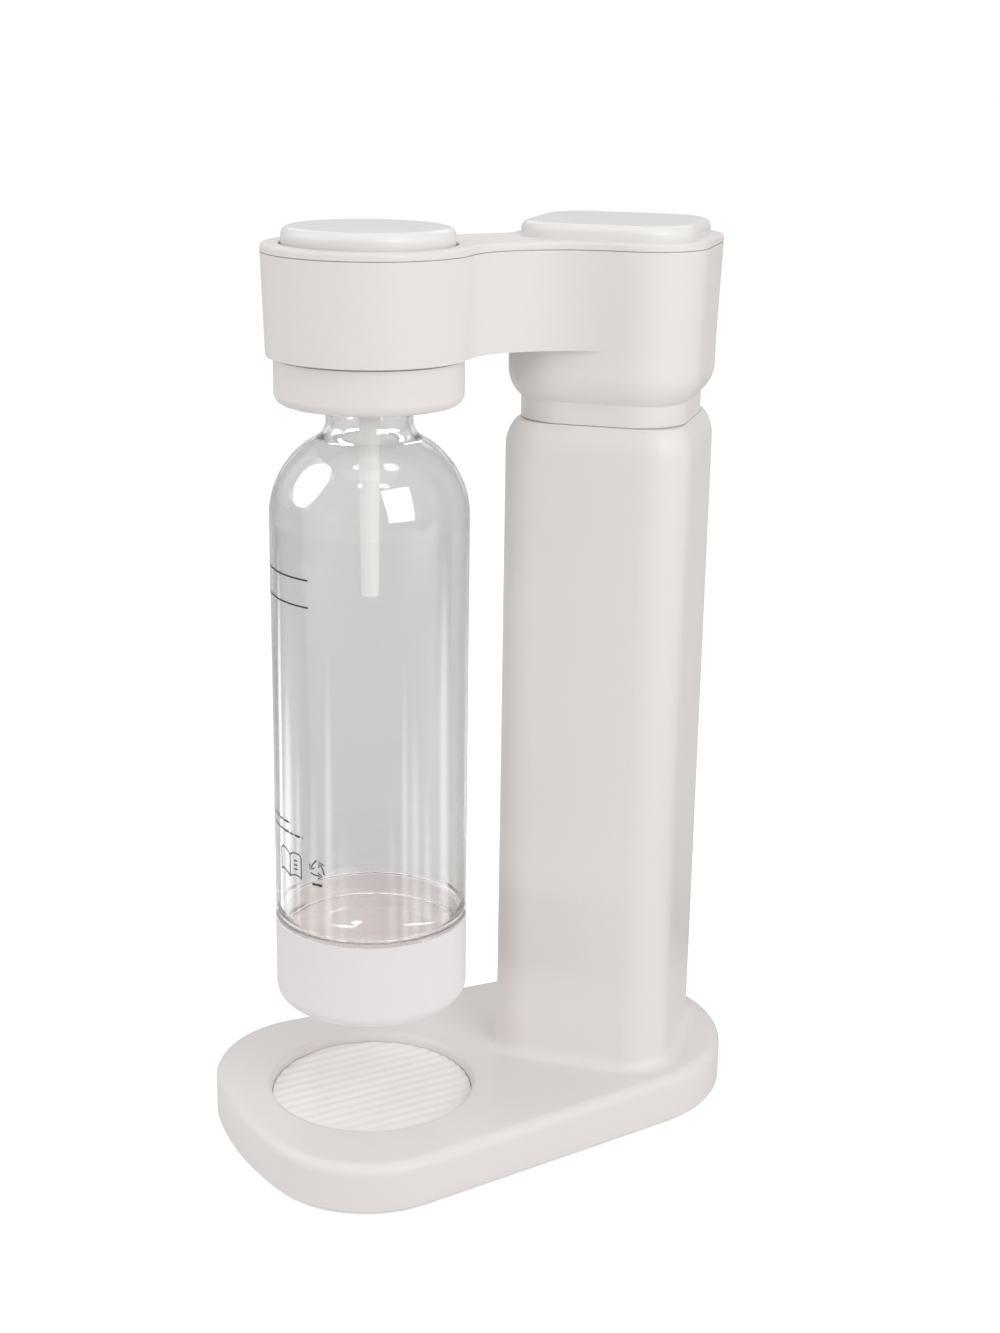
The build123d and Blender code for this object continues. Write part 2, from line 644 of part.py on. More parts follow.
# ---- gas cylinder and its valve ----
def cylinder_profile(sketch, shrink, neck_r, top):
    """Half outline of the gas cylinder: flat foot, straight wall, rounded shoulder, short neck."""
    low = CYLINDER_LOW + shrink
    side = CYLINDER_R - shrink
    bend = SHOULDER_BEND - shrink
    centre = CYLINDER_R - SHOULDER_BEND
    crown = CYLINDER_SHOULDER + bend
    middle = (centre + bend * cos(pi / 4), CYLINDER_SHOULDER + bend * sin(pi / 4))
    with BuildLine() as half:
        Polyline((0, low), (side, low), (side, CYLINDER_SHOULDER))
        ThreePointArc((side, CYLINDER_SHOULDER), middle, (centre, crown))
        Polyline((centre, crown), (neck_r, crown), (neck_r, top), (0, top), (0, low))
    make_face(half.edges())
    fillet(sketch.vertices().sort_by_distance((side, low))[0], 7)


AXIS_COLUMN = Axis((0, COLUMN_Y, 0), (0, 0, 1))
VALVE_FOOT = CYLINDER_SHOULDER + CYLINDER_NECK_H
with BuildPart() as gas_cylinder:
    with BuildSketch(Plane.XZ.offset(-COLUMN_Y)) as outer:
        cylinder_profile(outer, 0, CYLINDER_NECK_R, VALVE_FOOT)
    revolve(axis=AXIS_COLUMN)
    with BuildSketch(Plane.XZ.offset(-COLUMN_Y)) as inner:
        cylinder_profile(inner, CYLINDER_WALL, 6, VALVE_FOOT + 1)
    revolve(axis=AXIS_COLUMN, mode=Mode.SUBTRACT)
save(gas_cylinder.part, "gas_cylinder")

with BuildPart() as cylinder_valve:
    with BuildSketch(Plane.XY.offset(VALVE_FOOT)):
        with Locations((0, COLUMN_Y)):
            Circle(CYLINDER_NECK_R)
    extrude(amount=VALVE_BODY_H)
    with BuildSketch(Plane.XY.offset(VALVE_FOOT + 4)):
        with Locations((0, COLUMN_Y)):
            RegularPolygon(15, 6)
    extrude(amount=9)
    with BuildSketch(Plane.XY.offset(VALVE_FOOT + VALVE_BODY_H)):
        with Locations((0, COLUMN_Y)):
            Circle(THREAD_R)
    extrude(amount=SOCKET_TOP - WASHER_T - GAP - VALVE_FOOT - VALVE_BODY_H)
    chamfer(cylinder_valve.edges().group_by(Axis.Z)[-1], 0.8)
    with BuildSketch(Plane.XY.offset(SOCKET_TOP - 8)):
        with Locations((0, COLUMN_Y)):
            Circle(PIN_R + 0.5)
    extrude(amount=10, mode=Mode.SUBTRACT)
save(cylinder_valve.part, "cylinder_valve")

with BuildPart() as valve_washer:
    with BuildSketch(Plane.XY.offset(SOCKET_TOP - WASHER_T)):
        with Locations((0, COLUMN_Y)):
            Circle(9.8)
            Circle(5, mode=Mode.SUBTRACT)
    extrude(amount=WASHER_T)
save(valve_washer.part, "valve_washer")

# ---- gas hose with its two nuts ----
HOSE_REAR = COLUMN_Y - VALVE_R - 5
HOSE_FRONT = BOTTLE_Y + 15.5
with BuildPart() as gas_hose:
    with BuildLine() as route:
        Spline((0, HOSE_REAR, HOSE_Z + PORT_RISE), (9, (HOSE_REAR + HOSE_FRONT) / 2, HOSE_Z), (0, HOSE_FRONT, HOSE_Z),
               tangents=[(0, -1, 0), (0, -1, 0)])
    with BuildSketch(Plane(origin=route.line @ 0, z_dir=route.line % 0)):
        Circle(HOSE_R)
        Circle(HOSE_BORE_R, mode=Mode.SUBTRACT)
    sweep()
save(gas_hose.part, "gas_hose")

# ---- nozzle block over the bottle, seal and carbonating wand ----
NOZZLE_LOW = 369.2
NOZZLE_HIGH = 388.0
WAND_SEAT = 10.0
RELIEF_X = 14.5
with BuildPart() as nozzle_block:
    with BuildSketch(Plane.XY.offset(NOZZLE_LOW)):
        with Locations((0, BOTTLE_Y)):
            Circle(24)
    extrude(amount=FLOOR_TOP - NOZZLE_LOW)
    with BuildSketch(Plane.XY.offset(FLOOR_TOP)):
        with Locations((0, BOTTLE_Y)):
            Circle(27)
    extrude(amount=4)
    with BuildSketch(Plane.XY.offset(FLOOR_TOP + 3)):
        with Locations((0, BOTTLE_Y)):
            Circle(9)
        with Locations((RELIEF_X, BOTTLE_Y)):
            Circle(6.5)
    extrude(amount=NOZZLE_HIGH - FLOOR_TOP - 3)
    with BuildSketch(Plane.XZ.offset(-BOTTLE_Y)):
        with Locations((0, HOSE_Z)):
            Circle(STUB_R)
    extrude(amount=BOTTLE_Y - HOSE_FRONT)
    with BuildSketch(Plane.XY.offset(NOZZLE_LOW)):
        with Locations((0, BOTTLE_Y)):
            Circle(WAND_R + 0.1)
    extrude(amount=WAND_SEAT, mode=Mode.SUBTRACT)
    with BuildSketch(Plane.XY.offset(NOZZLE_LOW)):
        with Locations((0, BOTTLE_Y)):
            Circle(1.6)
    extrude(amount=HOSE_Z + 2.5 - NOZZLE_LOW, mode=Mode.SUBTRACT)
    with BuildSketch(Plane.XZ.offset(-BOTTLE_Y)):
        with Locations((0, HOSE_Z)):
            Circle(HOSE_BORE_R)
    extrude(amount=-20, mode=Mode.SUBTRACT)
    # bore of the pressure relief valve, wider at the top for its spring
    with BuildSketch(Plane.XY.offset(FLOOR_TOP + 6)):
        with Locations((RELIEF_X, BOTTLE_Y)):
            Circle(3.6)
    extrude(amount=20, mode=Mode.SUBTRACT)
    with BuildSketch(Plane.XY.offset(NOZZLE_LOW)):
        with Locations((RELIEF_X, BOTTLE_Y)):
            Circle(1.2)
    extrude(amount=20, mode=Mode.SUBTRACT)
save(nozzle_block.part, "nozzle_block")

with BuildPart() as hose_nuts:
    for y_low in (HOSE_FRONT, HOSE_REAR - 6):
        height = HOSE_Z if y_low == HOSE_FRONT else HOSE_Z + PORT_RISE
        with BuildSketch(Plane.XZ.offset(-y_low)):
            with Locations((0, height)):
                RegularPolygon(5, 6)
                Circle(HOSE_R + 0.6, mode=Mode.SUBTRACT)
        extrude(amount=-6)
save(hose_nuts.part, "hose_nuts")

with BuildPart() as relief_plunger:
    with BuildSketch(Plane.XY.offset(FLOOR_TOP + 6.1)):
        with Locations((RELIEF_X, BOTTLE_Y)):
            Circle(3.2)
    extrude(amount=1.6)
    with BuildSketch(Plane.XY.offset(FLOOR_TOP + 7)):
        with Locations((RELIEF_X, BOTTLE_Y)):
            Circle(1.1)
    extrude(amount=NOZZLE_HIGH + 3 - FLOOR_TOP - 7)
save(relief_plunger.part, "relief_plunger")

with BuildPart() as relief_cap:
    with BuildSketch(Plane.XY.offset(NOZZLE_HIGH)):
        with Locations((RELIEF_X, BOTTLE_Y)):
            Circle(6.5)
            Circle(1.4, mode=Mode.SUBTRACT)
    extrude(amount=1.8)
save(relief_cap.part, "relief_cap")

with BuildPart() as relief_spring:
    coil_low = FLOOR_TOP + 7.7 + 0.35
    coil_h = NOZZLE_HIGH - 0.35 - coil_low
    with BuildLine() as coil:
        Helix(pitch=coil_h / 3, height=coil_h, radius=2.2, center=(RELIEF_X, BOTTLE_Y, coil_low))
    with BuildSketch(Plane(origin=coil.line @ 0, z_dir=coil.line % 0)):
        Circle(0.35)
    sweep(is_frenet=True)
save(relief_spring.part, "relief_spring")

with BuildPart() as wand:
    with BuildSketch(Plane.XZ.offset(-BOTTLE_Y)) as half:
        with BuildLine():
            Polyline((WAND_BORE_R, WAND_LOW), (WAND_TIP_R, WAND_LOW), (WAND_R, NOZZLE_LOW),
                     (WAND_R, NOZZLE_LOW + WAND_SEAT - 0.2), (WAND_BORE_R, NOZZLE_LOW + WAND_SEAT - 0.2),
                     close=True)
        make_face()
        fillet(half.vertices().sort_by_distance((WAND_TIP_R, WAND_LOW))[0], 1.8)
    revolve(axis=Axis((0, BOTTLE_Y, 0), (0, 0, 1)))
save(wand.part, "wand")

with BuildPart() as bottle_seal:
    with BuildSketch(Plane.XY.offset(BOTTLE_TOP + 0.2)):
        with Locations((0, BOTTLE_Y)):
            Circle(20)
            Circle(13, mode=Mode.SUBTRACT)
    extrude(amount=NOZZLE_LOW - BOTTLE_TOP - 0.2)
save(bottle_seal.part, "bottle_seal")

# ---- collar under the head, and the ring that grips the bottle neck ----
COLLAR_FLOOR = 3.0
with BuildPart() as collar:
    with BuildSketch(Plane.XY.offset(COLLAR_BOTTOM)):
        with Locations((0, BOTTLE_Y)):
            Circle(COLLAR_R)
    extrude(amount=HEAD_BOTTOM - COLLAR_GAP - COLLAR_BOTTOM)
    fillet(collar.edges().group_by(Axis.Z)[0], COLLAR_EDGE_R)
    with BuildSketch(Plane.XY.offset(HEAD_BOTTOM - 3)):
        with Locations((0, BOTTLE_Y)):
            Circle(COLLAR_R - 2)
    extrude(amount=3)
    with BuildSketch(Plane.XY.offset(COLLAR_BOTTOM + COLLAR_FLOOR)):
        with Locations((0, BOTTLE_Y)):
            Circle(COLLAR_R - 10.6)
    extrude(amount=HEAD_BOTTOM - 5 - COLLAR_BOTTOM - COLLAR_FLOOR, mode=Mode.SUBTRACT)
    with BuildSketch(Plane.XY.offset(COLLAR_BOTTOM)):
        with Locations((0, BOTTLE_Y)):
            Circle(HEAD_MOUTH_R)
    extrude(amount=30, mode=Mode.SUBTRACT)
    with BuildSketch(Plane.XY.offset(HEAD_BOTTOM)):
        with Locations(*COLLAR_SPOTS):
            Circle(SCREW_HOLE_R)
    extrude(amount=-10, mode=Mode.SUBTRACT)
save(collar.part, "collar")

save(screws(COLLAR_SPOTS, FLOOR_TOP, 11, 2, False), "collar_screws")

with BuildPart() as grip_ring:
    with BuildSketch(Plane.XY.offset(COLLAR_BOTTOM + COLLAR_FLOOR + GAP)):
        with Locations((0, BOTTLE_Y)):
            Circle(COLLAR_R - 11)
    extrude(amount=4)
    with BuildSketch(Plane.XY.offset(COLLAR_BOTTOM + COLLAR_FLOOR + GAP)):
        with Locations((0, BOTTLE_Y)):
            Circle(HEAD_MOUTH_R - GAP)
    extrude(amount=12)
    with BuildSketch(Plane.XY.offset(COLLAR_BOTTOM)):
        with Locations((0, BOTTLE_Y)):
            Circle(21.2)
    extrude(amount=30, mode=Mode.SUBTRACT)
save(grip_ring.part, "grip_ring")

# ---- bottle and cup ----
BEAD_Z = 357.0
BEAD_H = 2.4
NECK_BLEND = 9.0
PLUG_R = CUP_R - 2.4
BOTTLE_FOOT = BOTTLE_FLOOR - 2.0


def bottle_profile(sketch, shrink, neck_r, floor, top):
    """Half outline of the bottle: straight wall, round shoulder, concave turn into the neck."""
    radius = DOME_R - shrink
    centre = BOTTLE_R - DOME_R
    rise = sqrt(radius**2 - (neck_r - centre) ** 2)
    swing = atan2(rise, neck_r - centre) / 2
    with BuildLine() as half:
        Polyline((0, floor), (BOTTLE_R - shrink, floor), (BOTTLE_R - shrink, DOME_Z))
        ThreePointArc((BOTTLE_R - shrink, DOME_Z),
                      (centre + radius * cos(swing), DOME_Z + radius * sin(swing)),
                      (neck_r, DOME_Z + rise))
        Polyline((neck_r, DOME_Z + rise), (neck_r, top), (0, top), (0, floor))
    make_face(half.edges())
    turn = sketch.vertices().sort_by_distance((neck_r, DOME_Z + rise))[0]
    fillet(turn, NECK_BLEND)


AXIS_BOTTLE = Axis((0, BOTTLE_Y, 0), (0, 0, 1))
with BuildPart() as bottle:
    with BuildSketch(Plane.XZ.offset(-BOTTLE_Y)) as outer:
        bottle_profile(outer, 0, BOTTLE_NECK_R, SEAM + 0.2, BOTTLE_TOP)
    revolve(axis=AXIS_BOTTLE)
    with BuildSketch(Plane.XY.offset(BOTTLE_FOOT)):
        with Locations((0, BOTTLE_Y)):
            Circle(PLUG_R)
    extrude(amount=SEAM + 1 - BOTTLE_FOOT)
    fillet(bottle.edges().group_by(Axis.Z)[0], 0.8)
    with BuildSketch(Plane.XY.offset(BEAD_Z - BEAD_H / 2)):
        with Locations((0, BOTTLE_Y)):
            Circle(BOTTLE_NECK_R + 1.6)
    extrude(amount=BEAD_H)
    with BuildSketch(Plane.XZ.offset(-BOTTLE_Y)) as inner:
        bottle_profile(inner, BOTTLE_WALL, BOTTLE_BORE_R, SEAM + 4, BOTTLE_TOP + 2)
    revolve(axis=AXIS_BOTTLE, mode=Mode.SUBTRACT)
    # inside of the plug that stands in the cup, opening out to the full width above the seam
    with BuildSketch(Plane.XZ.offset(-BOTTLE_Y)) as well:
        with BuildLine() as half:
            Polyline((0, BOTTLE_FLOOR), (PLUG_R - BOTTLE_WALL, BOTTLE_FLOOR), (PLUG_R - BOTTLE_WALL, SEAM + 1),
                     (BOTTLE_R - BOTTLE_WALL, SEAM + 4), (0, SEAM + 4), (0, BOTTLE_FLOOR))
        make_face(half.edges())
        corner = well.vertices().sort_by_distance((PLUG_R, BOTTLE_FLOOR))[0]
        fillet(corner, 3.4)
    revolve(axis=AXIS_BOTTLE, mode=Mode.SUBTRACT)
save(bottle.part, "bottle")

with BuildPart() as bottle_cup:
    with BuildSketch(Plane.XY.offset(CUP_BOTTOM)):
        with Locations((0, BOTTLE_Y)):
            Circle(CUP_R)
    extrude(amount=SEAM - CUP_BOTTOM)
    fillet(bottle_cup.edges().group_by(Axis.Z)[0], CUP_EDGE_R)
    # the bottle's plug stands on a narrow ledge, over an empty hollow
    with BuildSketch(Plane.XY.offset(BOTTLE_FOOT - 0.1)):
        with Locations((0, BOTTLE_Y)):
            Circle(CUP_R - 2.2)
    extrude(amount=SEAM, mode=Mode.SUBTRACT)
    with BuildSketch(Plane.XY.offset(CUP_BOTTOM + 2.5)):
        with Locations((0, BOTTLE_Y)):
            Circle(CUP_R - 4.0)
    extrude(amount=SEAM, mode=Mode.SUBTRACT)
save(bottle_cup.part, "bottle_cup")
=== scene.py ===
# %% [markdown]
# # A soda carbonator, dressed for the studio
# The object is a free-standing machine that puts gas into a bottle of water. Its solid parts arrive as one
# finished frame, each with its real size and place, so this lesson adds what a frame lacks: plastics with a
# moulded grain, a clear blown bottle, printed marks, metals inside, light and a camera.
# Everything is in metres, with +Z up, the bottle towards -Y and the column towards +Y.

# %% Load the frame
import math

import bmesh
import bpy
from mathutils import Matrix, Vector


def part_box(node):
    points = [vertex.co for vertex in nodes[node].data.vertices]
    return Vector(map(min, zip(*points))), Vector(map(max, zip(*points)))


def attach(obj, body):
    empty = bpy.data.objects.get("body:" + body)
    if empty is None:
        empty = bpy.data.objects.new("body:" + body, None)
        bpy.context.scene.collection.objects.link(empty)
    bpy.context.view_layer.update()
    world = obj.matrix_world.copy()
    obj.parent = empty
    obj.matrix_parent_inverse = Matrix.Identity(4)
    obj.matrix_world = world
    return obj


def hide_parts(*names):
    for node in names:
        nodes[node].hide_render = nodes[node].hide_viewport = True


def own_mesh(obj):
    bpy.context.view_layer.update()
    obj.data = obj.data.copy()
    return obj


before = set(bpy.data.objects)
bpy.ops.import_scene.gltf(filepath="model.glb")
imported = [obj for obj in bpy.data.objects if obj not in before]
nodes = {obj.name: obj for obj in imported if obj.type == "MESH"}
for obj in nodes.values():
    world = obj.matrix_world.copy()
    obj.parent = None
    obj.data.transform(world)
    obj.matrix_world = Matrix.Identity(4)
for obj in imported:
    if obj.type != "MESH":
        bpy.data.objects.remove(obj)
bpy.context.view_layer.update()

MM = 0.001

# %% [markdown]
# ## Where things are
# Every new piece takes its place from the frame. The bottle's box gives the vertical axis that the bottle,
# its marks and the seam share, and the cup's box gives the height of that seam.

# %% Shared places
bottle_low, bottle_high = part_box("bottle")
cup_low, cup_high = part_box("bottle_cup")
bottle_x = (bottle_low.x + bottle_high.x) / 2
bottle_y = (bottle_low.y + bottle_high.y) / 2
seam_z = cup_high.z
bottle_radius = (bottle_high.x - bottle_low.x) / 2
print("in mm, bottle axis at y", round(bottle_y / MM, 1), "seam at z", round(seam_z / MM, 1),
      "radius", round(bottle_radius / MM, 1))

# %% [markdown]
# ## Small helpers for materials
# A material is a graph of nodes. `new_material` starts one with its shader and returns the pieces that the
# cells below wire up. Values that are the same all over go straight onto the shader's own sockets, where
# they stay plain numbers.

# %% Material helpers
NOISE_MIDDLE = 0.5
WHOLE = 1.0


def new_material(name, colour, roughness, metallic=0.0):
    """A material with one Principled shader; returns (material, nodes, links, shader)."""
    material = bpy.data.materials.new(name)
    material.use_nodes = True
    tree = material.node_tree
    shader = tree.nodes["Principled BSDF"]
    shader.inputs["Base Color"].default_value = (*colour, 1.0)
    shader.inputs["Roughness"].default_value = roughness
    shader.inputs["Metallic"].default_value = metallic
    material.diffuse_color = (*colour, 1.0)
    return material, tree.nodes, tree.links, shader


def new_group(name, inputs, outputs):
    """An empty shader node group with named sockets; returns (group, inlet, outlet)."""
    group = bpy.data.node_groups.new(name, "ShaderNodeTree")
    for label, kind, value in inputs:
        socket = group.interface.new_socket(label, in_out="INPUT", socket_type="NodeSocket" + kind)
        socket.default_value = value
    for label, kind in outputs:
        group.interface.new_socket(label, in_out="OUTPUT", socket_type="NodeSocket" + kind)
    inlet = group.nodes.new("NodeGroupInput")
    outlet = group.nodes.new("NodeGroupOutput")
    return group, inlet, outlet


def add(tree_nodes, kind, **settings):
    """One node with its settings."""
    node = tree_nodes.new(kind)
    for key, value in settings.items():
        setattr(node, key, value)
    return node


def use_group(tree_nodes, group, **values):
    """Places a group in a material and sets its inputs by name (spaces written as underscores)."""
    node = tree_nodes.new("ShaderNodeGroup")
    node.node_tree = group
    for key, value in values.items():
        node.inputs[key.replace("_", " ")].default_value = value
    return node


def dress(material, *names):
    """Gives one material to CAD nodes, in place of whatever they came with."""
    for name in names:
        mesh = nodes[name].data
        mesh.materials.clear()
        mesh.materials.append(material)


# %% [markdown]
# ## Effect 1: moulded grain
# Injection-moulded housings carry the fine texture of the tool they were made in: a tight, shallow
# pebbling that breaks up reflections. One way is a picture wrapped round every part; noise is better here,
# because it has no seams and keeps its real size everywhere. A fine noise makes the pebbles, a middling one
# varies the gloss, and a broad, faint one is the slow change of shade that large mouldings show.

# %% Group: moulded grain
grain, grain_in, grain_out = new_group(
    "moulded_grain",
    [("Colour", "Color", (0.8, 0.78, 0.77, 1)), ("Shade Variation", "Float", 0.02),
     ("Grain Size", "Float", 2600.0), ("Roughness", "Float", 0.42), ("Roughness Spread", "Float", 0.06)],
    [("Colour", "Color"), ("Roughness", "Float"), ("Height", "Float")])
where = add(grain.nodes, "ShaderNodeTexCoord")
fine = add(grain.nodes, "ShaderNodeTexNoise")
fine.inputs["Detail"].default_value = 3
broad = add(grain.nodes, "ShaderNodeTexNoise")
broad.inputs["Scale"].default_value = 9
broad.inputs["Detail"].default_value = 2
cloud = add(grain.nodes, "ShaderNodeTexNoise")
cloud.inputs["Scale"].default_value = 55
cloud.inputs["Detail"].default_value = 4
for noise in (fine, broad, cloud):
    grain.links.new(where.outputs["Object"], noise.inputs["Vector"])
grain.links.new(grain_in.outputs["Grain Size"], fine.inputs["Scale"])
centred = add(grain.nodes, "ShaderNodeMath", operation="SUBTRACT")
centred.inputs[1].default_value = NOISE_MIDDLE
grain.links.new(broad.outputs["Fac"], centred.inputs[0])
shade = add(grain.nodes, "ShaderNodeMath", operation="MULTIPLY_ADD")
shade.inputs[2].default_value = WHOLE
grain.links.new(centred.outputs[0], shade.inputs[0])
grain.links.new(grain_in.outputs["Shade Variation"], shade.inputs[1])
tinted = add(grain.nodes, "ShaderNodeVectorMath", operation="SCALE")
grain.links.new(grain_in.outputs["Colour"], tinted.inputs[0])
grain.links.new(shade.outputs[0], tinted.inputs["Scale"])
grain.links.new(tinted.outputs[0], grain_out.inputs["Colour"])
spread = add(grain.nodes, "ShaderNodeMath", operation="SUBTRACT")
spread.inputs[1].default_value = NOISE_MIDDLE
grain.links.new(cloud.outputs["Fac"], spread.inputs[0])
rough = add(grain.nodes, "ShaderNodeMath", operation="MULTIPLY_ADD", use_clamp=True)
grain.links.new(spread.outputs[0], rough.inputs[0])
grain.links.new(grain_in.outputs["Roughness Spread"], rough.inputs[1])
grain.links.new(grain_in.outputs["Roughness"], rough.inputs[2])
grain.links.new(rough.outputs[0], grain_out.inputs["Roughness"])
grain.links.new(fine.outputs["Fac"], grain_out.inputs["Height"])
print("group made:", grain.name)

# %% [markdown]
# ## Effect 2: handling marks
# Hands and cloths leave faint streaks and soft smudges that show only as small changes of gloss. The group
# gives a mask from stretched noise; each material decides how strongly to use it.

# %% Group: handling marks
marks, marks_in, marks_out = new_group(
    "handling_marks", [("Amount", "Float", 0.5), ("Size", "Float", 30.0)], [("Mask", "Float")])
spot = add(marks.nodes, "ShaderNodeTexCoord")
stretch = add(marks.nodes, "ShaderNodeMapping")
stretch.inputs["Scale"].default_value = (1.0, 1.0, 0.35)
smear = add(marks.nodes, "ShaderNodeTexNoise")
smear.inputs["Detail"].default_value = 6
smear.inputs["Roughness"].default_value = 0.62
cut = add(marks.nodes, "ShaderNodeMapRange")
cut.inputs["From Min"].default_value = 0.52
cut.inputs["From Max"].default_value = 0.72
scaled = add(marks.nodes, "ShaderNodeMath", operation="MULTIPLY")
marks.links.new(spot.outputs["Object"], stretch.inputs["Vector"])
marks.links.new(stretch.outputs["Vector"], smear.inputs["Vector"])
marks.links.new(marks_in.outputs["Size"], smear.inputs["Scale"])
marks.links.new(smear.outputs["Fac"], cut.inputs["Value"])
marks.links.new(cut.outputs["Result"], scaled.inputs[0])
marks.links.new(marks_in.outputs["Amount"], scaled.inputs[1])
marks.links.new(scaled.outputs[0], marks_out.inputs["Mask"])
print("group made:", marks.name)

# %% [markdown]
# ## The plastics
# One recipe serves all mouldings: the grain group colours the shader and drives its gloss, the marks group
# polishes or dulls small areas, and the grain's height feeds a bump. Only the values differ between the
# warm shell, the cooler cup, the milky button and the grey parts inside.

# %% Plastic recipe
PLASTIC_IOR = 1.5
COAT_ROUGHNESS = 0.08


def plastic(name, colour, roughness, grain_depth, grain_size=2600.0, variation=0.02, spread=0.06,
            smudge=0.04, coat=0.0):
    """A moulded plastic built from the grain and marks groups."""
    material, tree, links, shader = new_material(name, colour, roughness)
    skin = use_group(tree, grain, Colour=(*colour, 1), Shade_Variation=variation, Grain_Size=grain_size,
                     Roughness=roughness, Roughness_Spread=spread)
    hands = use_group(tree, marks, Amount=smudge)
    gloss = add(tree, "ShaderNodeMath", operation="SUBTRACT", use_clamp=True)
    links.new(skin.outputs["Roughness"], gloss.inputs[0])
    links.new(hands.outputs["Mask"], gloss.inputs[1])
    links.new(gloss.outputs[0], shader.inputs["Roughness"])
    links.new(skin.outputs["Colour"], shader.inputs["Base Color"])
    bump = add(tree, "ShaderNodeBump")
    bump.inputs["Strength"].default_value = 0.35
    bump.inputs["Distance"].default_value = grain_depth
    links.new(skin.outputs["Height"], bump.inputs["Height"])
    links.new(bump.outputs["Normal"], shader.inputs["Normal"])
    shader.inputs["IOR"].default_value = PLASTIC_IOR
    if coat:
        shader.inputs["Coat Weight"].default_value = coat
        shader.inputs["Coat Roughness"].default_value = COAT_ROUGHNESS
    return material


# %% [markdown]
# The outer mouldings are warm off-white and differ a little in gloss: the shell is satin, the button and the
# rear cap are milky and smoother, and the cup is cooler. The parts inside are rougher and plainer.

# %% The plastics
shell_white = plastic("shell_white", (0.805, 0.768, 0.748), 0.40, 0.00004)
# Painted light: the drip disc is paler than the shell, standing in for the sheen it catches in its shaded
# recess.
disc_white = plastic("disc_white", (0.97, 0.935, 0.92), 0.42, 0.00002)
cap_milky = plastic("cap_milky", (0.84, 0.815, 0.795), 0.3, 0.00001, smudge=0.03, coat=0.12)
cup_white = plastic("cup_white", (0.84, 0.80, 0.805), 0.32, 0.00003)
inner_white = plastic("inner_white", (0.72, 0.70, 0.69), 0.5, 0.00008, variation=0.05)
inner_grey = plastic("inner_grey", (0.30, 0.31, 0.33), 0.5, 0.00008, variation=0.06)
wand_white = plastic("wand_white", (0.95, 0.94, 0.92), 0.32, 0.00003)
dress(shell_white, "body_shell", "head_body", "head_plate", "collar")
dress(disc_white, "drip_disc")
dress(cap_milky, "button", "rear_cap")
dress(cup_white, "bottle_cup")
dress(inner_white, "base_cover", "cylinder_door", "grip_ring")
dress(inner_grey, "cylinder_guide", "button_guide", "nozzle_block")
dress(wand_white, "wand")
print("plastics made: shell, disc, cap, cup, inner white, inner grey, wand")

# %% [markdown]
# The cup's inside is painted a little lighter and warmer than its outside. That is painted light and a
# painted warm reflection, and it shows through the bottle's clear floor. It could be a second material on
# chosen faces. A mask
# needs no faces picked by hand: the distance from the bottle's axis tells the inside of the wall from the
# outside, and the height leaves the foot out.

# %% Painted light inside the cup
CUP_WALL_PART = 0.0012
CUP_FLOOR_PART = 0.002
# Painted light: the cup's inside is made lighter and warmer than the cup's own plastic.
CUP_INSIDE_PAINTED_LIGHT = (0.96, 0.895, 0.885, 1)
tree, links = cup_white.node_tree.nodes, cup_white.node_tree.links
cup_where = add(tree, "ShaderNodeTexCoord")
cup_centre = add(tree, "ShaderNodeVectorMath", operation="SUBTRACT")
cup_centre.inputs[1].default_value = (bottle_x, bottle_y, 0)
cup_flat = add(tree, "ShaderNodeVectorMath", operation="MULTIPLY")
cup_flat.inputs[1].default_value = (1, 1, 0)
cup_reach = add(tree, "ShaderNodeVectorMath", operation="LENGTH")
cup_inside = add(tree, "ShaderNodeMath", operation="LESS_THAN")
cup_inside.inputs[1].default_value = bottle_radius - CUP_WALL_PART
cup_upper = add(tree, "ShaderNodeSeparateXYZ")
cup_above = add(tree, "ShaderNodeMath", operation="GREATER_THAN")
cup_above.inputs[1].default_value = cup_low.z + CUP_FLOOR_PART
cup_light_mask = add(tree, "ShaderNodeMath", operation="MULTIPLY")
# Mixes the painted light in where the mask is on: inside the wall and above the foot.
cup_painted_light = add(tree, "ShaderNodeMix", data_type="RGBA")
cup_painted_light.inputs["B"].default_value = CUP_INSIDE_PAINTED_LIGHT
links.new(cup_where.outputs["Object"], cup_centre.inputs[0])
links.new(cup_centre.outputs[0], cup_flat.inputs[0])
links.new(cup_flat.outputs[0], cup_reach.inputs[0])
links.new(cup_reach.outputs["Value"], cup_inside.inputs[0])
links.new(cup_where.outputs["Object"], cup_upper.inputs["Vector"])
links.new(cup_upper.outputs["Z"], cup_above.inputs[0])
links.new(cup_inside.outputs[0], cup_light_mask.inputs[0])
links.new(cup_above.outputs[0], cup_light_mask.inputs[1])
links.new(cup_light_mask.outputs[0], cup_painted_light.inputs["Factor"])
cup_colour = tree["Principled BSDF"].inputs["Base Color"]
links.new(cup_colour.links[0].from_socket, cup_painted_light.inputs["A"])
links.new(cup_painted_light.outputs["Result"], cup_colour)
print("cup finish:", cup_white.name)

# %% [markdown]
# ## Effect 3: drawn and turned metal
# Screws, springs, lever and valve parts are cut or drawn, so their fine scratches run one way. The group
# stretches a noise along one axis and gives both a mask for gloss and a height for the bump.

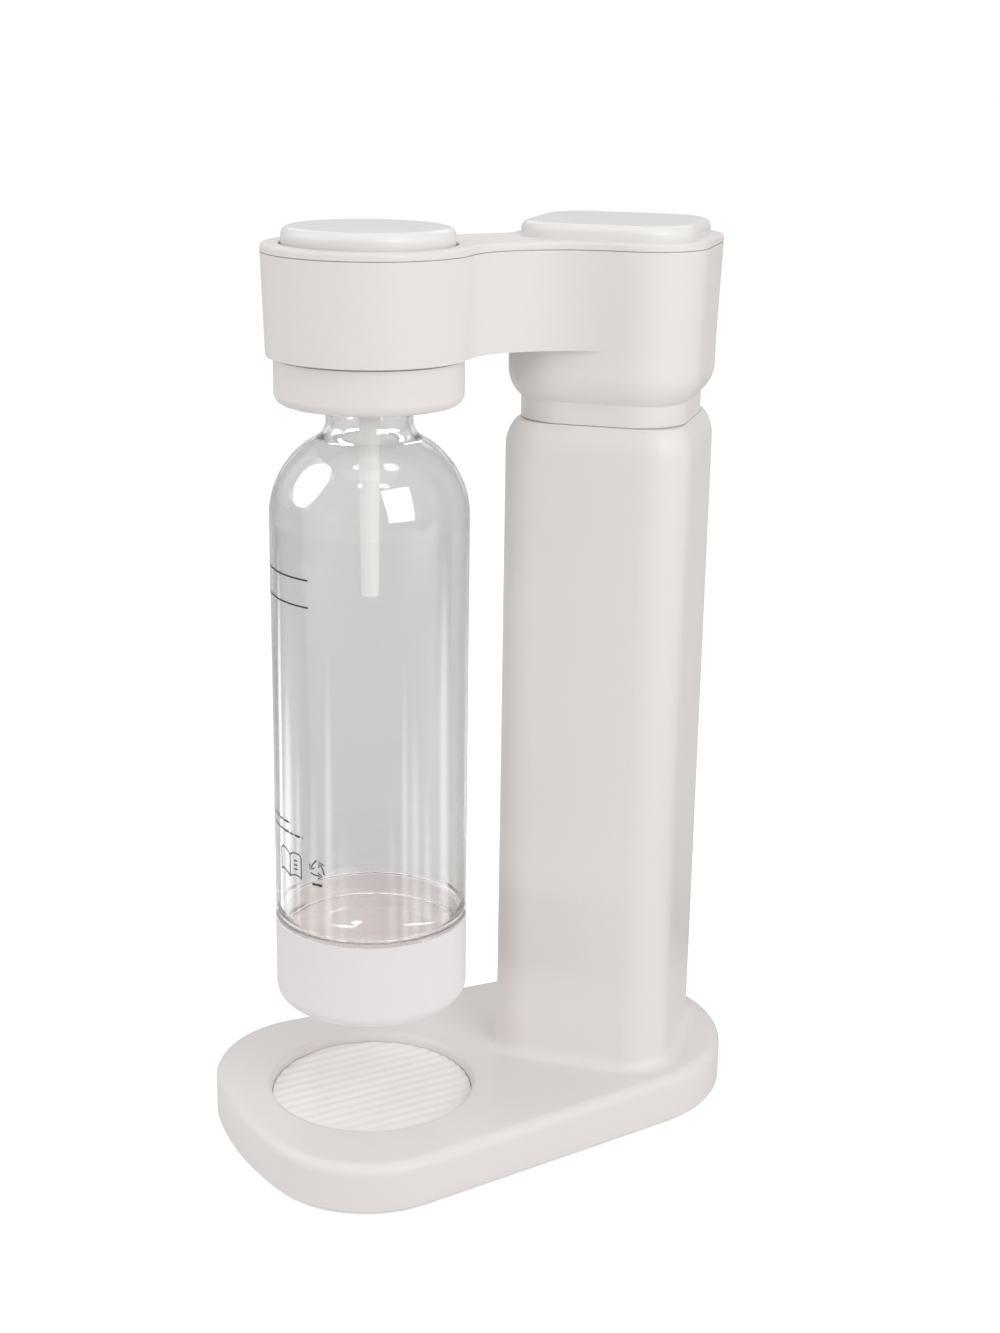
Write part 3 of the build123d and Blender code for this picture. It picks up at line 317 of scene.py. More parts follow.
# %% Group: metal lines
lines, line_in, line_out = new_group(
    "metal_lines",
    [("Scale", "Float", 400.0), ("Colour", "Color", (0.6, 0.6, 0.6, 1)), ("Contrast", "Float", 0.15)],
    [("Colour", "Color"), ("Mask", "Float")])
line_where = add(lines.nodes, "ShaderNodeTexCoord")
line_map = add(lines.nodes, "ShaderNodeMapping")
line_map.inputs["Scale"].default_value = (1.0, 1.0, 14.0)
line_noise = add(lines.nodes, "ShaderNodeTexNoise")
line_noise.inputs["Detail"].default_value = 5
line_mix = add(lines.nodes, "ShaderNodeMath", operation="MULTIPLY_ADD")
line_mix.inputs[2].default_value = WHOLE
line_centre = add(lines.nodes, "ShaderNodeMath", operation="SUBTRACT")
line_centre.inputs[1].default_value = NOISE_MIDDLE
line_tint = add(lines.nodes, "ShaderNodeVectorMath", operation="SCALE")
lines.links.new(line_where.outputs["Object"], line_map.inputs["Vector"])
lines.links.new(line_map.outputs["Vector"], line_noise.inputs["Vector"])
lines.links.new(line_in.outputs["Scale"], line_noise.inputs["Scale"])
lines.links.new(line_noise.outputs["Fac"], line_centre.inputs[0])
lines.links.new(line_centre.outputs[0], line_mix.inputs[0])
lines.links.new(line_in.outputs["Contrast"], line_mix.inputs[1])
lines.links.new(line_in.outputs["Colour"], line_tint.inputs[0])
lines.links.new(line_mix.outputs[0], line_tint.inputs["Scale"])
lines.links.new(line_tint.outputs[0], line_out.inputs["Colour"])
lines.links.new(line_noise.outputs["Fac"], line_out.inputs["Mask"])
print("group made:", lines.name)

# %% [markdown]
# Each metal gets its own shade and gloss from one recipe. The scratches move the roughness between two
# values, which says more about a metal than its colour does. Zinc-plated screws, spring wire, pressed steel,
# cast aluminium and turned brass are the metals that such a machine holds.

# %% Metals
def metal(name, colour, low, high, scale=400.0, contrast=0.2):
    """A bare metal whose gloss runs between two roughness values along its scratches."""
    material, tree, links, shader = new_material(name, colour, low, 1.0)
    scratch = use_group(tree, lines, Scale=scale, Colour=(*colour, 1), Contrast=contrast)
    gloss = add(tree, "ShaderNodeMapRange")
    gloss.inputs["To Min"].default_value = low
    gloss.inputs["To Max"].default_value = high
    links.new(scratch.outputs["Mask"], gloss.inputs["Value"])
    links.new(gloss.outputs["Result"], shader.inputs["Roughness"])
    links.new(scratch.outputs["Colour"], shader.inputs["Base Color"])
    bump = add(tree, "ShaderNodeBump")
    bump.inputs["Strength"].default_value = 0.2
    bump.inputs["Distance"].default_value = 0.00005
    links.new(scratch.outputs["Mask"], bump.inputs["Height"])
    links.new(bump.outputs["Normal"], shader.inputs["Normal"])
    return material


zinc = metal("zinc_steel", (0.62, 0.62, 0.63), 0.22, 0.45)
spring = metal("spring_steel", (0.66, 0.66, 0.68), 0.15, 0.35, 900.0)
pressed = metal("pressed_steel", (0.58, 0.59, 0.60), 0.28, 0.5)
cast = metal("cast_aluminium", (0.72, 0.73, 0.74), 0.4, 0.6, 250.0, 0.3)
brass = metal("turned_brass", (0.78, 0.58, 0.27), 0.18, 0.4)
dress(zinc, "base_screws", "neck_screws", "guide_screws", "frame_screws", "collar_screws")
dress(spring, "pivot_pin", "valve_pin")
dress(pressed, "lever")
dress(cast, "valve_frame")
dress(brass, "valve_block", "cylinder_valve", "hose_nuts", "relief_plunger", "relief_cap")
print("metals made: 5")

# %% [markdown]
# ## The two springs
# A coil spring gets shorter when its piece moves, which a rigid coil can't show. Each spring is wound again
# here as a round wire along a helix, in the box of the frame's own spring.

# %% Springs
STEPS_PER_TURN = 32
WIRE_SIDES = 10
END_ROOM = 1.1


def wound_spring(node, turns, wire_r):
    """Winds the spring that fills a node's box, in its place, and hides the node."""
    spring_low, spring_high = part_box(node)
    middle = (spring_low + spring_high) / 2
    coil_r = (spring_high.x - spring_low.x) / 2 - wire_r
    height = spring_high.z - spring_low.z - 2 * END_ROOM * wire_r
    bm = bmesh.new()
    loops = []
    for k in range(turns * STEPS_PER_TURN + 1):
        t = 2 * math.pi * k / STEPS_PER_TURN
        rise = spring_low.z + END_ROOM * wire_r + height * k / (turns * STEPS_PER_TURN)
        loop = []
        for side in range(WIRE_SIDES):
            s = 2 * math.pi * side / WIRE_SIDES
            r = coil_r + wire_r * math.cos(s)
            loop.append(bm.verts.new((middle.x + r * math.cos(t), middle.y + r * math.sin(t),
                                      rise + wire_r * math.sin(s))))
        loops.append(loop)
    for a, b in zip(loops, loops[1:]):
        for side in range(WIRE_SIDES):
            n = (side + 1) % WIRE_SIDES
            bm.faces.new((a[side], a[n], b[n], b[side])).smooth = True
    bm.faces.new(loops[0])
    bm.faces.new(loops[-1])
    bmesh.ops.recalc_face_normals(bm, faces=bm.faces)
    mesh = bpy.data.meshes.new("wound_" + node)
    bm.to_mesh(mesh)
    bm.free()
    mesh.materials.append(spring)
    piece = bpy.data.objects.new("wound_" + node, mesh)
    bpy.context.scene.collection.objects.link(piece)
    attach(piece, "machine")
    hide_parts(node)
    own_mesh(piece)


wound_spring("button_spring", 4, 0.0008)
wound_spring("relief_spring", 3, 0.00035)

# %% [markdown]
# ## Rubber and the painted cylinder
# Feet, seals and hose are dull and slightly dusty, so they take the plastic recipe with a coarse grain and
# a high roughness. The gas cylinder is enamelled steel: the same recipe with a clear coat on top. A recipe
# of its own would repeat the same nodes.

# %% Rubber and enamel
foot_rubber = plastic("foot_rubber", (0.035, 0.035, 0.037), 0.75, 0.00012, 1400.0, 0.25, 0.15, 0.0)
seal_rubber = plastic("seal_rubber", (0.02, 0.02, 0.02), 0.6, 0.00008, 1600.0, 0.2, 0.1, 0.0)
hose_rubber = plastic("hose_rubber", (0.03, 0.03, 0.033), 0.55, 0.00008, 1800.0, 0.2, 0.1, 0.0)
enamel = plastic("cylinder_enamel", (0.45, 0.47, 0.50), 0.35, 0.00003, 900.0, 0.05, 0.08, 0.1, coat=0.6)
dress(foot_rubber, "feet")
dress(seal_rubber, "valve_washer", "bottle_seal")
dress(hose_rubber, "gas_hose")
dress(enamel, "gas_cylinder")
print("rubbers and enamel made: 4")

# %% [markdown]
# ## The drip disc
# The round insert in the base has low, rounded ribs that keep drops off the bottle's foot. The frame's disc
# has square ribs, which catch hard lines of light. A wavy sheet does it better: its height follows a cosine
# across the ribs, it is cut to a circle, and a skirt with a sharp edge closes it down to its underside.

# %% Ribbed disc
RIB_PITCH = 0.006
RIB_RISE = 0.00045
disc_low, disc_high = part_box("drip_disc")
disc_r = (disc_high.x - disc_low.x) / 2
CUTS_ACROSS, CUTS_ALONG = 190, 24
disc_mesh = bpy.data.meshes.new("ribbed_disc")
bm = bmesh.new()
columns = []
for i in range(1, CUTS_ACROSS):
    x = -disc_r * math.cos(math.pi * i / CUTS_ACROSS)
    half = math.sqrt(disc_r**2 - x**2)
    z = disc_high.z - RIB_RISE * (0.5 - 0.5 * math.cos(2 * math.pi * x / RIB_PITCH))
    columns.append([bm.verts.new((x, bottle_y + half * (2 * k / CUTS_ALONG - 1), z))
                    for k in range(CUTS_ALONG + 1)])
for a, b in zip(columns, columns[1:]):
    for k in range(CUTS_ALONG):
        bm.faces.new((a[k], b[k], b[k + 1], a[k + 1])).smooth = True
rim = [c[0] for c in columns] + columns[-1][1:] + [c[-1] for c in columns[-2::-1]] + columns[0][-2:0:-1]
foot = [bm.verts.new((v.co.x, v.co.y, disc_low.z)) for v in rim]
for k in range(len(rim)):
    n = (k + 1) % len(rim)
    bm.faces.new((rim[n], rim[k], foot[k], foot[n]))
    bm.edges.get((rim[k], rim[n])).smooth = False
bm.faces.new(foot)
bmesh.ops.recalc_face_normals(bm, faces=bm.faces)
bm.to_mesh(disc_mesh)
bm.free()
disc_mesh.materials.append(disc_white)
disc = bpy.data.objects.new("ribbed_disc", disc_mesh)
bpy.context.scene.collection.objects.link(disc)
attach(disc, "drip_disc")
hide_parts("drip_disc")
print("ribs across the disc:", round(2 * disc_r / RIB_PITCH))

# %% [markdown]
# ## The bottle
# The bottle is blown from clear plastic: a straight wall, a round shoulder and a short neck, with a wall
# little more than a millimetre thick. It could keep the frame's own solid, but light bends through a clear
# wall, and any flat facet there shows. Turning one closed outline round the axis with many fine steps gives
# a smooth wall inside and out. The numbers below are the same sizes that the frame's bottle has.

# %% Bottle outline
DOME_Z = 0.300
DOME_R = 0.039
WALL = 0.0014
NECK_R = 0.019
BORE_R = 0.0165
MOUTH_Z = bottle_high.z
FOOT_Z = bottle_low.z
FLOOR_Z = FOOT_Z + 0.002
PLUG_R = bottle_radius - 0.0022
HAIR = 0.0002
FOOT_EDGE = 0.0008
SEAM_EDGE = 0.0002
FLOOR_EDGE = 0.0034
LIP_EDGE = 0.0006
LIP_BEVEL = 0.0004
NECK_BLEND = 0.009
BEAD_Z = 0.357
BEAD = ((0, -0.0015), (0.0012, -0.0011), (0.0016, 0), (0.0012, 0.0011), (0, 0.0015))
WALL_START_Z = seam_z + 0.001
LEDGE_Z = seam_z + 0.0045
FLAT_R = 0.02


def arc(cx, cz, radius, start, end, steps):
    """Points on an arc in the (radius, height) plane, angles in degrees."""
    turns = [math.radians(start + (end - start) * k / steps) for k in range(steps + 1)]
    return [(cx + radius * math.cos(t), cz + radius * math.sin(t)) for t in turns]


def shoulder(radius, neck_r, blend, steps):
    """Round shoulder and the concave turn into the neck, from the wall up."""
    centre = bottle_radius - DOME_R
    reach = radius + blend
    across = neck_r + blend - centre
    swing = math.degrees(math.acos(across / reach))
    dome = arc(centre, DOME_Z, radius, 0, swing, steps)
    top = (centre + reach * math.cos(math.radians(swing)), DOME_Z + reach * math.sin(math.radians(swing)))
    turn = arc(top[0], top[1], blend, swing + 180, 180, 14)
    return dome + turn[1:]


def straight(radius, low, high, steps):
    """Points up a straight wall, the last one left out."""
    return [(radius, low + k * (high - low) / steps) for k in range(steps)]


# %% [markdown]
# The outline goes up the outside, over the mouth and down the inside. The plug that sits in the cup is
# narrower than the wall above the seam, and a small bead under the mouth gives the grip ring its hold.

# %% Bottle outline, point by point
outer = arc(PLUG_R - FOOT_EDGE, FOOT_Z + FOOT_EDGE, FOOT_EDGE, -90, 0, 6)
outer += straight(PLUG_R, FOOT_Z + FOOT_EDGE + HAIR, seam_z + SEAM_EDGE, 6)[1:]
outer += [(PLUG_R, seam_z + SEAM_EDGE)]
outer += arc(bottle_radius - SEAM_EDGE, seam_z + 2 * SEAM_EDGE, SEAM_EDGE, -90, 0, 3)
outer += straight(bottle_radius, WALL_START_Z, DOME_Z, 30)
outer += shoulder(DOME_R, NECK_R, NECK_BLEND, 48)
outer += [(NECK_R + out, BEAD_Z + up) for out, up in BEAD]
outer += [(NECK_R, MOUTH_Z - LIP_EDGE), (NECK_R - LIP_BEVEL, MOUTH_Z), (BORE_R + LIP_BEVEL, MOUTH_Z),
          (BORE_R, MOUTH_Z - LIP_EDGE)]
inner = shoulder(DOME_R - WALL, BORE_R, NECK_BLEND, 48)[::-1]
inner += straight(bottle_radius - WALL, LEDGE_Z, DOME_Z, 30)[:0:-1]
inner += [(bottle_radius - WALL, LEDGE_Z), (bottle_radius - WALL - 0.0003, LEDGE_Z - 0.0008),
          (PLUG_R - WALL + 0.0003, seam_z + 0.0013), (PLUG_R - WALL, seam_z + 0.0005)]
inner += straight(PLUG_R - WALL, FLOOR_Z + FLOOR_EDGE + HAIR, seam_z, 6)[:0:-1]
inner += arc(PLUG_R - WALL - FLOOR_EDGE, FLOOR_Z + FLOOR_EDGE, FLOOR_EDGE, 0, -90, 10)
inner += [(FLAT_R, FLOOR_Z), (0.0, FLOOR_Z)]
under = [(0.0, FOOT_Z), (FLAT_R, FOOT_Z)]
outline = outer + inner + under
print("bottle outline points:", len(outline))


# %% [markdown]
# A helper turns an outline round the bottle's axis. Points on the axis become one vertex each, so the
# floor closes cleanly, and every face is smooth-shaded. The Screw modifier could do it too, with a merge at
# the axis afterwards; rings made by hand need none.

# %% Turn an outline
ON_AXIS = 1e-6


def turned(name, points, steps=160):
    """A closed surface of revolution round the bottle's axis from (radius, height) points."""
    mesh = bpy.data.meshes.new(name)
    bm = bmesh.new()
    rings = []
    for radius, height in points:
        if radius < ON_AXIS:
            rings.append([bm.verts.new((bottle_x, bottle_y, height))])
            continue
        ring = []
        for k in range(steps):
            angle = 2 * math.pi * k / steps
            ring.append(bm.verts.new((bottle_x + radius * math.cos(angle),
                                      bottle_y + radius * math.sin(angle), height)))
        rings.append(ring)
    for a, b in zip(rings, rings[1:] + rings[:1]):
        if len(a) == 1 and len(b) == 1:
            continue
        for k in range(steps):
            n = (k + 1) % steps
            corners = [a[0]] if len(a) == 1 else [a[k], a[n]]
            corners += [b[0]] if len(b) == 1 else [b[n], b[k]]
            bm.faces.new(corners)
    bmesh.ops.recalc_face_normals(bm, faces=bm.faces)
    bm.to_mesh(mesh)
    bm.free()
    for face in mesh.polygons:
        face.use_smooth = True
    piece = bpy.data.objects.new(name, mesh)
    bpy.context.scene.collection.objects.link(piece)
    return piece


bottle = turned("clear_bottle", outline)
print("bottle faces:", len(bottle.data.polygons))

# %% [markdown]
# The clear plastic is a transmitting shader with the bend of a drinks bottle. Real blown walls are never
# quite even, so a very shallow, tall noise ripples the surface and wavers the streaks of light on it.
# Two things need care. Shadow and diffuse rays pass straight through, or the bottle would throw a shadow
# like a solid one. And the wall fades towards plain transparency at its rims, where a full bend of light
# would draw them as thick dark bands.

# %% Clear plastic
BOTTLE_IOR = 1.45
clear, tree, links, shader = new_material("clear_blown", (1.0, 0.998, 0.99), 0.0)
shader.inputs["Transmission Weight"].default_value = 1.0
shader.inputs["IOR"].default_value = BOTTLE_IOR
clear_where = add(tree, "ShaderNodeTexCoord")
clear_map = add(tree, "ShaderNodeMapping")
clear_map.inputs["Scale"].default_value = (1.0, 1.0, 0.1)
clear_noise = add(tree, "ShaderNodeTexNoise")
clear_noise.inputs["Scale"].default_value = 70
clear_noise.inputs["Detail"].default_value = 1
clear_bump = add(tree, "ShaderNodeBump")
clear_bump.inputs["Strength"].default_value = 0.3
clear_bump.inputs["Distance"].default_value = 0.0006
links.new(clear_where.outputs["Object"], clear_map.inputs["Vector"])
links.new(clear_map.outputs["Vector"], clear_noise.inputs["Vector"])
links.new(clear_noise.outputs["Fac"], clear_bump.inputs["Height"])
links.new(clear_bump.outputs["Normal"], shader.inputs["Normal"])
print("clear wall bends light by", BOTTLE_IOR)

# %% Clear plastic: rims and shadows
through = add(tree, "ShaderNodeBsdfTransparent")
through.inputs["Color"].default_value = (0.95, 0.95, 0.95, 1)
clear_path = add(tree, "ShaderNodeLightPath")
clear_either = add(tree, "ShaderNodeMath", operation="MAXIMUM")
clear_mix = add(tree, "ShaderNodeMixShader")
clear_edge = add(tree, "ShaderNodeLayerWeight")
clear_edge.inputs["Blend"].default_value = 0.35
clear_thin = add(tree, "ShaderNodeMapRange")
clear_thin.inputs["From Min"].default_value = 0.45
clear_thin.inputs["From Max"].default_value = 0.95
clear_thin.inputs["To Min"].default_value = 0.06
clear_thin.inputs["To Max"].default_value = 0.7
clear_any = add(tree, "ShaderNodeMath", operation="MAXIMUM")
links.new(clear_path.outputs["Is Shadow Ray"], clear_either.inputs[0])
links.new(clear_path.outputs["Is Diffuse Ray"], clear_either.inputs[1])
links.new(clear_edge.outputs["Facing"], clear_thin.inputs["Value"])
links.new(clear_thin.outputs["Result"], clear_any.inputs[0])
links.new(clear_either.outputs[0], clear_any.inputs[1])
links.new(clear_any.outputs[0], clear_mix.inputs["Fac"])
links.new(shader.outputs["BSDF"], clear_mix.inputs[1])
links.new(through.outputs["BSDF"], clear_mix.inputs[2])
links.new(clear_mix.outputs["Shader"], tree["Material Output"].inputs["Surface"])
bottle.data.materials.append(clear)
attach(bottle, "bottle")
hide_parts("bottle")
print("clear wall:", round(WALL / MM, 1), "mm thick")

# %% [markdown]
# ## Printed marks
# The bottle carries two thin fill lines on its left side, and small symbols low down. They are ink on the
# surface, so each is a thin strip that hugs the wall a hair outside it. A strip is described by where it
# runs round the bottle and how high; the helper bends it onto the wall.

# %% Ink and strips
ink, tree, links, shader = new_material("print_ink", (0.03, 0.03, 0.035), 0.45)
ink_where = add(tree, "ShaderNodeTexCoord")
ink_noise = add(tree, "ShaderNodeTexNoise")
ink_noise.inputs["Scale"].default_value = 900
ink_ramp = add(tree, "ShaderNodeMapRange")
ink_ramp.inputs["To Min"].default_value = 0.35
ink_ramp.inputs["To Max"].default_value = 0.6
links.new(ink_where.outputs["Object"], ink_noise.inputs["Vector"])
links.new(ink_noise.outputs["Fac"], ink_ramp.inputs["Value"])
links.new(ink_ramp.outputs["Result"], shader.inputs["Roughness"])
INK_LIFT = 0.00006
INK_R = bottle_radius + INK_LIFT
print("ink stands off the wall by", round(INK_LIFT / MM, 2), "mm")


# %% [markdown]
# Three helpers lay a strip: one finds a point on the wall, one makes a ribbon along a run of such points,
# and one gathers ribbons into a mark that moves with the bottle. A drawn picture on the wall would do for
# a flat print, but a mesh keeps its edges sharp from close by.

# %% Strips on the wall
def on_wall(angle, height):
    """The point on the bottle's wall at an angle in degrees (0 towards +X) and a height."""
    a = math.radians(angle)
    return (bottle_x + INK_R * math.cos(a), bottle_y + INK_R * math.sin(a), height)


def stroke(bm, path, width):
    """A flat ribbon along points of (angle, height) on the wall, width in metres."""
    rows = []
    for k, (angle, height) in enumerate(path):
        before, after = path[max(k - 1, 0)], path[min(k + 1, len(path) - 1)]
        run = math.radians(after[0] - before[0]) * INK_R
        rise = after[1] - before[1]
        size = math.hypot(run, rise) or 1.0
        side_a = math.degrees(-rise / size * width / 2 / INK_R)
        side_h = run / size * width / 2
        rows.append((bm.verts.new(on_wall(angle + side_a, height + side_h)),
                     bm.verts.new(on_wall(angle - side_a, height - side_h))))
    for (a, b), (c, d) in zip(rows, rows[1:]):
        bm.faces.new((a, b, d, c))


def printed(name, paths, width):
    """One printed mark made of strokes, riding with the bottle."""
    bm = bmesh.new()
    for path in paths:
        stroke(bm, path, width)
    bmesh.ops.recalc_face_normals(bm, faces=bm.faces)
    mesh = bpy.data.meshes.new(name)
    bm.to_mesh(mesh)
    bm.free()
    mesh.materials.append(ink)
    piece = bpy.data.objects.new(name, mesh)
    bpy.context.scene.collection.objects.link(piece)
    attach(piece, "bottle")
    print("printed:", name, "in", len(paths), "strokes")


# %% [markdown]
# The upper line marks a full bottle and the lower one the least to fill, each with a short tick beside it.
# They follow the wall's curve, so each is a run of short steps between two directions. The cell also makes
# the two helpers that the signs need: one lays a drawing on the wall, one turns a drawing about its centre.

# %% Fill lines
LINE_START = -124.0
LINE_END = -62.5
LINE_WIDTH = 0.00075
UPPER_LINE_Z = 0.279
LOWER_LINE_Z = 0.267
TICK_RISE = 0.0045
TICK_START, TICK_END = -113, -110
TICK_WIDTH = 0.0016


def level(height, start, end, steps=40):
    """A level run round the wall between two angles."""
    return [(start + (end - start) * k / steps, height) for k in range(steps + 1)]


def drawn(angle, height, points):
    """Points in millimetres, across and up, laid on the wall round a centre."""
    return [(angle + math.degrees(x * MM / INK_R), height + y * MM) for x, y in points]


def turned_points(points, degrees_round):
    """The same points turned about their centre."""
    t = math.radians(degrees_round)
    return [(x * math.cos(t) - y * math.sin(t), x * math.sin(t) + y * math.cos(t)) for x, y in points]


printed("fill_line_upper", [level(UPPER_LINE_Z, LINE_START, LINE_END)], LINE_WIDTH)
printed("fill_line_lower", [level(LOWER_LINE_Z, LINE_START, LINE_END)], LINE_WIDTH)
printed("fill_ticks", [level(height + TICK_RISE, TICK_START, TICK_END, 4)
                       for height in (UPPER_LINE_Z, LOWER_LINE_Z)], TICK_WIDTH)

# %% [markdown]
# Lower down come plain public signs without lettering: an open booklet, and three arrows chasing round. They
# are drawn in millimetres round their own centres, so that their shapes are easy to read and to change. The
# booklet's foot repeats its head lower down, and the loop's three arrows are one arrow turned twice.

# %% Booklet and loop
SIGN_WIDTH = 0.00062
BAR_WIDTH = 0.0012
PAGE_HEIGHT = 10.5
BOOKLET_TURN, BOOKLET_Z = -81, 0.1468
LOOP_TURN, LOOP_Z = -58.6, 0.1476
BAR_Z = 0.1402
left_page = [(-8, 4.2), (-6.4, 5.6), (-4, 5.2), (-1.8, 4.6), (0, 3.4)]
left_foot = [(x, y - PAGE_HEIGHT) for x, y in left_page]
right_page = [(0, 3.4), (1.8, 4.6), (4, 5.2), (6.4, 5.2), (8, 4.2)]
right_foot = [(x, y - PAGE_HEIGHT) for x, y in right_page]
booklet = [left_page, left_foot, right_page, right_foot, [(-8, 4.2), (-8, -6.3)], [(0, 3.4), (0, -7.1)],
           [(8, 4.2), (8, -6.3)], [(3, 1.4), (5.6, 1.7)], [(3, -0.6), (5.6, -0.3)], [(3, -2.6), (5.6, -2.3)]]
printed("booklet_sign", [drawn(BOOKLET_TURN, BOOKLET_Z, path) for path in booklet], SIGN_WIDTH)

shaft = [(-3.6, -2.3), (-1.2, -2.9), (1.4, -2.9)]
head = [(0.4, -1.4), (2.6, -2.9), (0.4, -4.4)]
loop = [turned_points(part, 120 * k) for k in range(3) for part in (shaft, head)]
printed("loop_sign", [drawn(LOOP_TURN, LOOP_Z, path) for path in loop], SIGN_WIDTH)
printed("loop_bar", [drawn(LOOP_TURN, BAR_Z, [(-2.6, 0), (2.6, 0)])], BAR_WIDTH)

# %% [markdown]
# Small print is only hinted at: dashes of uneven length, in degrees round the wall, follow each other along
# two rows that end at different places.

# %% Rows of dashes
ROW_START = -122.0
ROW_WIDTH = 0.0009
DASHES = (5.2, 3.1, 6.4, 2.6, 4.4, 3.6, 5.8, 2.9, 4.8, 3.3, 5.1)
DASH_GAP = 1.5
rows = []
for height, last in ((0.1652, -80.0), (0.1605, -69.0)):
    reach = ROW_START
    for dash in DASHES:
        stop = min(reach + dash, last)
        if stop > reach:
            rows.append(level(height, reach, stop, 4))
        reach += dash + DASH_GAP
printed("small_rows", rows, ROW_WIDTH)

# %% [markdown]
# ## Floor, light and camera
# The object stands on a plain pale floor in a bright, soft studio. To the camera the floor is almost white,
# like the background. To every other ray it is a grey that throws back less light, or the whole object would
# lose its shading from below. Rays that pass through the bottle also meet a faint glow far out on the floor,
# which keeps the clear wall light where it bends the view downwards.

# %% Floor
FLOOR_R = 40.0
FLOOR_DROP = 0.0002
FLOOR_LIFT = 0.55
GLOW_FROM, GLOW_TO = 0.5, 2.2
GLOW_LOW, GLOW_HIGH = 0.03, 0.24
floor_mesh = bpy.data.meshes.new("floor")
bm = bmesh.new()
bmesh.ops.create_circle(bm, cap_ends=True, segments=96, radius=FLOOR_R)
bm.to_mesh(floor_mesh)
bm.free()
floor = bpy.data.objects.new("floor", floor_mesh)
floor.location.z = -FLOOR_DROP
bpy.context.scene.collection.objects.link(floor)
pale, tree, links, shader = new_material("pale_floor", (0.74, 0.735, 0.73), 0.9)
shader.inputs["Specular IOR Level"].default_value = 0.0
bright = add(tree, "ShaderNodeEmission")
bright.inputs["Strength"].default_value = FLOOR_LIFT
lit = add(tree, "ShaderNodeBsdfDiffuse")
lit.inputs["Color"].default_value = (0.9, 0.9, 0.9, 1)
both = add(tree, "ShaderNodeAddShader")
floor_path = add(tree, "ShaderNodeLightPath")
floor_mix = add(tree, "ShaderNodeMixShader")
links.new(bright.outputs["Emission"], both.inputs[0])
links.new(lit.outputs["BSDF"], both.inputs[1])
floor_where = add(tree, "ShaderNodeTexCoord")
floor_far = add(tree, "ShaderNodeVectorMath", operation="LENGTH")
floor_rise = add(tree, "ShaderNodeMapRange")
floor_rise.inputs["From Min"].default_value = GLOW_FROM
floor_rise.inputs["From Max"].default_value = GLOW_TO
floor_rise.inputs["To Min"].default_value = GLOW_LOW
floor_rise.inputs["To Max"].default_value = GLOW_HIGH
floor_only = add(tree, "ShaderNodeMath", operation="MULTIPLY")
floor_glow = add(tree, "ShaderNodeEmission")
floor_sum = add(tree, "ShaderNodeAddShader")
links.new(floor_where.outputs["Object"], floor_far.inputs[0])
links.new(floor_far.outputs["Value"], floor_rise.inputs["Value"])
links.new(floor_rise.outputs["Result"], floor_only.inputs[0])
links.new(floor_path.outputs["Is Transmission Ray"], floor_only.inputs[1])
links.new(floor_only.outputs[0], floor_glow.inputs["Strength"])
links.new(shader.outputs["BSDF"], floor_sum.inputs[0])
links.new(floor_glow.outputs["Emission"], floor_sum.inputs[1])
links.new(floor_path.outputs["Is Camera Ray"], floor_mix.inputs["Fac"])
links.new(floor_sum.outputs["Shader"], floor_mix.inputs[1])
links.new(both.outputs["Shader"], floor_mix.inputs[2])
links.new(floor_mix.outputs["Shader"], tree["Material Output"].inputs["Surface"])
floor_mesh.materials.append(pale)
print("floor radius in m:", FLOOR_R)

# %% [markdown]
# The surround is a dome of even light. The camera sees it as white, the object is lit by a dimmer one, and
# rays that come through the bottle see it a little brighter, so the clear wall doesn't look grey.

# %% Surround
SURROUND = 0.52
THROUGH_EXTRA = 0.35
BACKDROP = 1.05
world = bpy.data.worlds.new("studio")
bpy.context.scene.world = world
world.use_nodes = True
world_tree = world.node_tree
surround = world_tree.nodes["Background"]
surround.inputs["Color"].default_value = (1, 1, 1, 1)
backdrop = add(world_tree.nodes, "ShaderNodeBackground")
backdrop.inputs["Color"].default_value = (1, 1, 1, 1)
backdrop.inputs["Strength"].default_value = BACKDROP
seen = add(world_tree.nodes, "ShaderNodeLightPath")
mix = add(world_tree.nodes, "ShaderNodeMixShader")
through_clear = add(world_tree.nodes, "ShaderNodeMath", operation="MULTIPLY_ADD")
through_clear.inputs[1].default_value = THROUGH_EXTRA
through_clear.inputs[2].default_value = SURROUND
world_tree.links.new(seen.outputs["Is Transmission Ray"], through_clear.inputs[0])
world_tree.links.new(through_clear.outputs[0], surround.inputs["Strength"])
world_tree.links.new(seen.outputs["Is Camera Ray"], mix.inputs["Fac"])
world_tree.links.new(surround.outputs["Background"], mix.inputs[1])
world_tree.links.new(backdrop.outputs["Background"], mix.inputs[2])
world_tree.links.new(mix.outputs["Shader"], world_tree.nodes["World Output"].inputs["Surface"])
print("surround:", SURROUND, "and", SURROUND + THROUGH_EXTRA, "through the bottle")

# %% [markdown]
# The shape shows through gentle shading: a large soft light from the right front, a weaker one from the
# left, one overhead, and two low ones that keep the base open. Point lights would draw hard shadows, so all
# are flat softboxes. The lights with soft=False are seen only as reflections.

# %% Softboxes
CAMERA_AZIMUTH = 60.6


